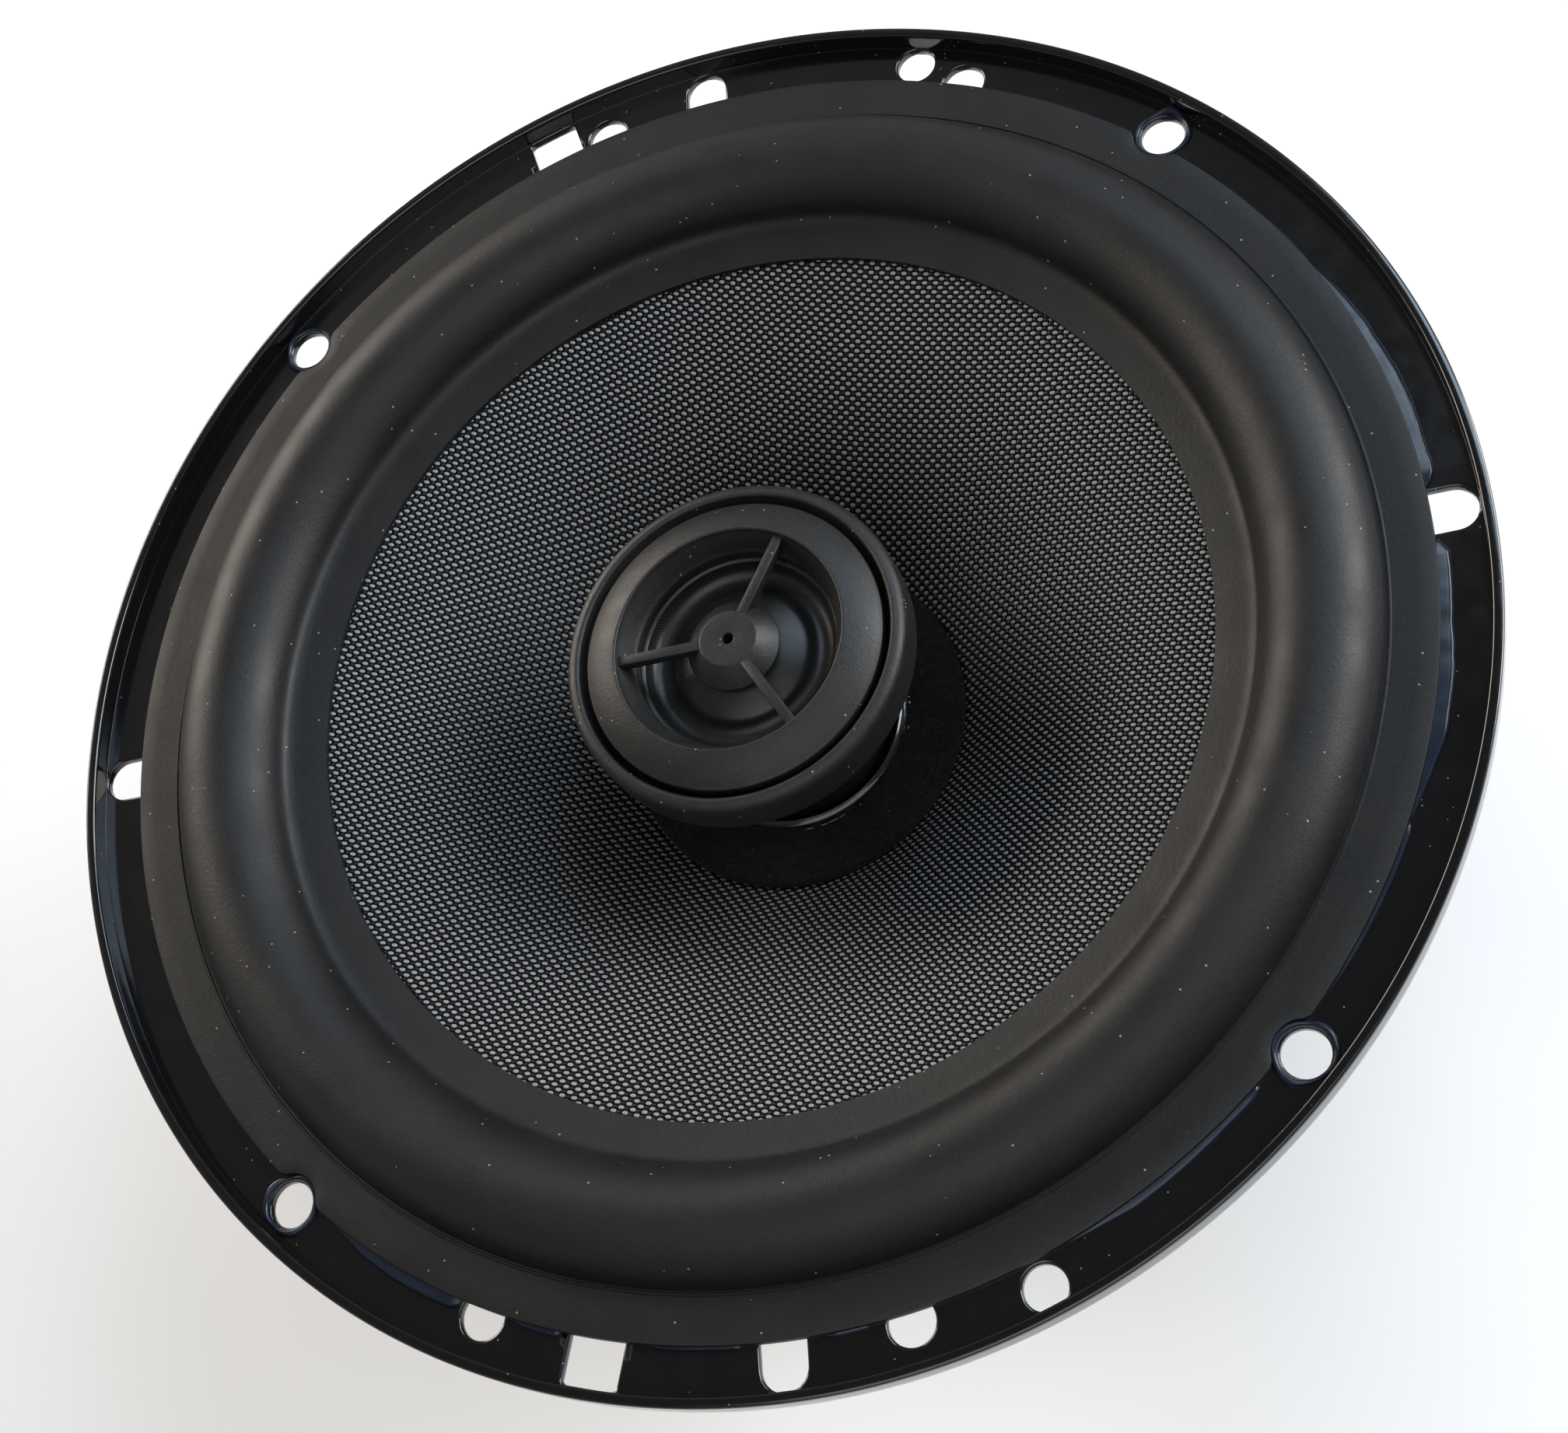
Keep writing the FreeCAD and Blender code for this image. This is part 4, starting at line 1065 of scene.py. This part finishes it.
def make_spider(material):
    inner, outer = FORMER_R, high("spider").x
    height = (high("spider").z - low("spider").z - SPIDER_T) / 2
    middle = LANDING_Z + SPIDER_T / 2

    def wave(r):
        if r < WAVE_START or r > WAVE_START + WAVE_SPAN:
            return 0.0
        return height * math.sin(math.pi * HALF_WAVES * (r - WAVE_START) / WAVE_SPAN)
    steps = 160
    radii = [inner + (outer - inner) * k / steps for k in range(steps + 1)]
    half = 0.22 * MM
    upper = [(r, middle + wave(r) + half) for r in radii]
    lower = [(r, middle + wave(r) - half) for r in reversed(radii)]
    return lathe("spider_cloth", upper + lower, material, segments=240)


def spider_share(point):
    return 1 - smooth_step((math.hypot(point.x, point.y) - WAVE_START) / WAVE_SPAN)


TINSEL_ROUTE = ((-49.5, -29.1), (-49.5, -20.0), (-39.0, -16.5), (-27.0, -24.0), (-19.0, -28.7),
                (-10.43, -28.7))     # (x, z) in mm, from the blade to the voice-coil former
TINSEL_SIDE = 7.5
STRANDS = 6


def curve_through(points, per_span=14):
    """Smooth path through the points."""
    path = []
    count = len(points)
    for k in range(count - 1):
        before = points[max(0, k - 1)]
        start, end = points[k], points[k + 1]
        after = points[min(count - 1, k + 2)]
        for j in range(per_span):
            t = j / per_span
            bend = 2 * before - 5 * start + 4 * end - after
            twist = 3 * start - before - 3 * end + after
            path.append(0.5 * (2 * start + (end - before) * t + bend * t * t + twist * t ** 3))
    return path + [points[-1]]


def make_tinsel(name, node, side, material):
    """Lead braided from thin strands that wind round one another."""
    path = curve_through([Vector((x * MM, side * TINSEL_SIDE * MM, z * MM)) for x, z in TINSEL_ROUTE])
    strands = []
    for strand in range(STRANDS):
        wound = []
        for k, point in enumerate(path):
            ahead = (path[min(k + 1, len(path) - 1)] - path[max(k - 1, 0)]).normalized()
            across = Vector((0, 1, 0))
            other = ahead.cross(across).normalized()
            turn = 2 * math.pi * strand / STRANDS + 0.55 * k
            wound.append(point + (across * math.cos(turn) + other * math.sin(turn)) * 0.26 * MM)
        strands.append(tube(wound, 0.17 * MM, 6))
    piece = new_object(name, finished_mesh(name, tube(path, 0.16 * MM, 6)), material)
    add_parts(piece, strands)

    def share(point):
        return 1 - smooth_step((-point.x - 17.0 * MM) / (31.0 * MM))
    flex(piece, CONE_BODY, "tinsel", share, node)


# --- tweeter

BORE_R, FLOOR_Z_MM = 4.0, -8.2       # the housing's floor and the sleeve's bore, in mm
WELL_R, RING_Z = 13.1, 1.5           # well of the tweeter's motor and the seat of the diaphragm


def make_housing(material):
    """Shell with a rolled bezel, a sharp lower edge and a bellied underside."""
    outer, top, base = HOUSING_R / MM, HOUSING_Z[1] / MM, HOUSING_Z[0] / MM
    edge, inner = -0.8, 18.25
    profile = [(BORE_R, FLOOR_Z_MM), (BORE_R, base), (12.9, base)]
    profile += arc_points(profile[-1], (13.35, base + 0.15), (13.8, base + 0.55), 4)
    profile += arc_points(profile[-1], (16.4, -6.6), (18.1, edge), 14)
    profile += [(19.85, edge)] + arc_points((19.85, edge), (19.96, edge + 0.05), (outer, edge + 0.17), 3)
    profile += straight(profile[-1], (outer, 3.0), 4)
    profile += arc_points(profile[-1], (19.7, 3.83), (19.0, top - 0.01), 12)
    profile += arc_points(profile[-1], (18.5, top), (inner + 0.02, top - 0.28), 5)
    profile += [(inner, RING_Z), (WELL_R, RING_Z), (WELL_R, FLOOR_Z_MM)]
    return lathe("tweeter_shell", in_metres(profile), material, segments=360)


def make_grille(material):
    """Dished ring, three arms and the phase plug, moulded in one."""
    outer, back, edge = GRILLE_R / MM, GRILLE_Z[0] / MM, 4.0
    crest = (13.5, GRILLE_Z[1] / MM)
    profile = [(11.8, back), (outer, back), (outer, edge - 0.25)]
    profile += arc_points(profile[-1], (outer - 0.06, edge - 0.07), (outer - 0.22, edge + 0.04), 4)
    profile += arc_points(profile[-1], bowed(profile[-1], crest, -0.2), crest, 20)
    profile += arc_points(crest, (13.33, crest[1] - 0.06), (13.25, crest[1] - 0.25), 4)
    profile += straight(profile[-1], (11.95, 3.0), 5)
    profile += arc_points(profile[-1], (11.84, 2.85), (11.8, 2.6), 4)
    face = lathe("tweeter_grille_face", in_metres(profile), material, segments=360)
    plug = lathe("plug", in_metres(softened([
        (0.65, 3.1, 0.1), (5.4, 3.1, 0.12), (5.4, 3.45, 0.15), (3.3, 5.5, 0.35), (0.65, 5.5, 0.12)], 5)),
        material, segments=120)
    parts = [taken(plug)]
    for angle in (60, 180, 300):
        arm = block((10.5 * MM, 1.2 * MM, 1.4 * MM), (7.95 * MM, 0, 4.7 * MM), math.radians(angle), 0.14 * MM)
        parts.append(arm)
    return add_parts(face, parts)


def taken(piece):
    """The piece's mesh as a bmesh; the piece itself is removed."""
    bm = bmesh.new()
    bm.from_mesh(piece.data)
    bpy.data.objects.remove(piece)
    return bm


DOME_EDGE, ROLL_WIDTH = 8.0, 3.3     # in mm


def make_diaphragm(material):
    """Fabric dome with a concave roll and a flat rim."""
    thick = 0.25
    edge, apex, roll_end = (DOME_EDGE, 0.7), (0.0, 2.4), (DOME_EDGE + ROLL_WIDTH, RING_Z)
    rise = apex[1] - edge[1]
    arc_r = (edge[0] ** 2 + rise ** 2) / (2 * rise)
    half_way = (edge[0] / 2, apex[1] - arc_r + math.sqrt(arc_r ** 2 - edge[0] ** 2 / 4))
    profile = [apex] + arc_points(apex, half_way, edge, 28)
    profile += arc_points(edge, bowed(edge, roll_end, -1.5), roll_end, 20)
    profile = eased(profile, 28, 2) + straight(roll_end, (DOME_RIM_R / MM, RING_Z), 3)
    under = [(r, z - thick) for r, z in reversed(profile)]
    under[-1] = (0.0, under[-1][1])
    return lathe("dome_fabric", in_metres(profile + under), material, segments=240)


def dome_share(point):
    radius = math.hypot(point.x, point.y)
    return 1 - smooth_step((radius - DOME_EDGE * MM) / (ROLL_WIDTH * MM))


# --- magnet system

def rounded_ring(name, node, inner, edge, material, segments=240):
    """Ring of a CAD node's size with rounded edges; inner is its bore radius and edge the rounding, in mm."""
    lower, upper = low(node).z / MM, high(node).z / MM
    outer = high(node).x / MM
    profile = softened([(inner, lower, edge), (outer, lower, edge), (outer, upper, edge),
                        (inner, upper, edge)], 4)
    return lathe(name, in_metres(profile), material, segments)


# --- putting it together

def paint_nodes(names, material):
    """CAD nodes that are shown as they are, with smooth shading and the given finish."""
    for name in names:
        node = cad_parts[name]
        node.data.materials.clear()
        node.data.materials.append(material)
        node.data.set_sharp_from_angle(angle=math.radians(30))
        node.data.shade_smooth()


make_camera()
make_stage()
area_light("warm_window", 142, 20, 0.9, (0.5, 0.42), 5.3, (1.0, 0.91, 0.8))
area_light("cool_window", 20, 21, 0.9, (0.5, 0.42), 8.0, (0.97, 0.985, 1.0))
area_light("ceiling", -80, 62, 1.1, (0.9, 0.9), 4.0, (0.96, 0.98, 1.0))
area_light("blue_sky", 55, 48, 0.9, (0.35, 0.35), 2.2, (0.66, 0.83, 1.0))

paint = gloss_paint()
rubber = surround_rubber()
plastic = satin_plastic()
zinc = metal("zinc_plated", (0.55, 0.55, 0.53), 0.35, 0.1)

settle(make_basket(paint), FRAME_BODY, "basket_paint", "basket")
flex(make_surround(rubber), CONE_BODY, "surround_rubber", roll_share, "surround")
settle(make_beads(cement()), FRAME_BODY, "surround_rubber")
# The cone cloth carries painted shade towards its neck.
weave = woven("cone_cloth", -19.0, (0.70, 0.515),
              ((0.0002, 0.0002, 0.0002), (0.022, 0.022, 0.022), (0.33, 0.33, 0.333)), 0.3, 0.13,
              gloss=0.16, neck_shade=(20.0, 44.0, 0.4))
settle(make_cone(weave), CONE_BODY, "cone_weave", "cone")
settle(make_felt(felt_wool()), CONE_BODY, "felt", "dust_ring")
settle(make_former(paint), CONE_BODY, "coil_foil", "voice_coil_former")
settle(make_former_glue(paint), CONE_BODY, "felt")
spider_cloth = woven("spider_cloth", 0.0, (0.45, 0.45),
                     ((0.05, 0.035, 0.015), (0.35, 0.25, 0.12), (0.42, 0.31, 0.16)), 0.7, 0.05)
flex(make_spider(spider_cloth), CONE_BODY, "spider_cloth", spider_share, "spider")
copper_braid = metal("tinsel_copper", (0.75, 0.42, 0.25), 0.35, 0.1)
make_tinsel("tinsel_positive", "tinsel_lead_positive", 1, copper_braid)
make_tinsel("tinsel_negative", "tinsel_lead_negative", -1, copper_braid)

settle(make_housing(plastic), FRAME_BODY, "tweeter_plastic", "tweeter_housing")
settle(make_grille(plastic), FRAME_BODY, "tweeter_plastic", "tweeter_grille")
dome_cloth = woven("dome_cloth", 30.0, (0.18, 0.18),
                   ((0.0005, 0.0005, 0.0005), (0.002, 0.002, 0.0021), (0.005, 0.005, 0.0052)),
                   0.22, 0.014, gloss=0.75)
flex(make_diaphragm(dome_cloth), DOME_BODY, "dome_fabric", dome_share, "tweeter_diaphragm")

settle(rounded_ring("top_plate_ring", "top_plate", 13.8, 0.5, zinc), FRAME_BODY, "plate_steel", "top_plate")
ferrite = metal("ferrite", (0.03, 0.03, 0.033), 0.55, 0.1, 0.0)
settle(rounded_ring("ferrite_ring", "ferrite_magnet", 22.5, 0.8, ferrite), FRAME_BODY, "ferrite",
       "ferrite_magnet")

FINISHES = (
    (zinc, "pole_yoke tweeter_cup tweeter_pole_piece"),
    (metal("rivet_steel", (0.62, 0.61, 0.58), 0.3, 0.12),
     "basket_rivets terminal_rivets post_nut tweeter_post"),
    (metal("nickel", (0.7, 0.68, 0.63), 0.22, 0.1), "tweeter_magnet"),
    (plastic, "post_sleeve diaphragm_ring"),
    (board_fibre(), "terminal_board"),
    (metal("tinned_brass", (0.72, 0.69, 0.6), 0.28, 0.15), "terminal_positive terminal_negative"),
    (metal("tinned_wire", (0.75, 0.75, 0.74), 0.25, 0.1), "capacitor_leads"),
    (coloured_plastic("capacitor_sleeve", (0.01, 0.02, 0.05), 0.25), "capacitor"),
    (coloured_plastic("red_insulation", (0.35, 0.01, 0.01), 0.4), "tweeter_wire_positive"),
    (coloured_plastic("black_insulation", (0.012, 0.012, 0.012), 0.4), "tweeter_wire_negative"),
    (wound_wire(), "voice_coil_winding tweeter_coil_winding"),
    (metal("coil_foil", (0.75, 0.75, 0.76), 0.3, 0.1), "tweeter_coil_former"))
for finish, names in FINISHES:
    paint_nodes(names.split(), finish)
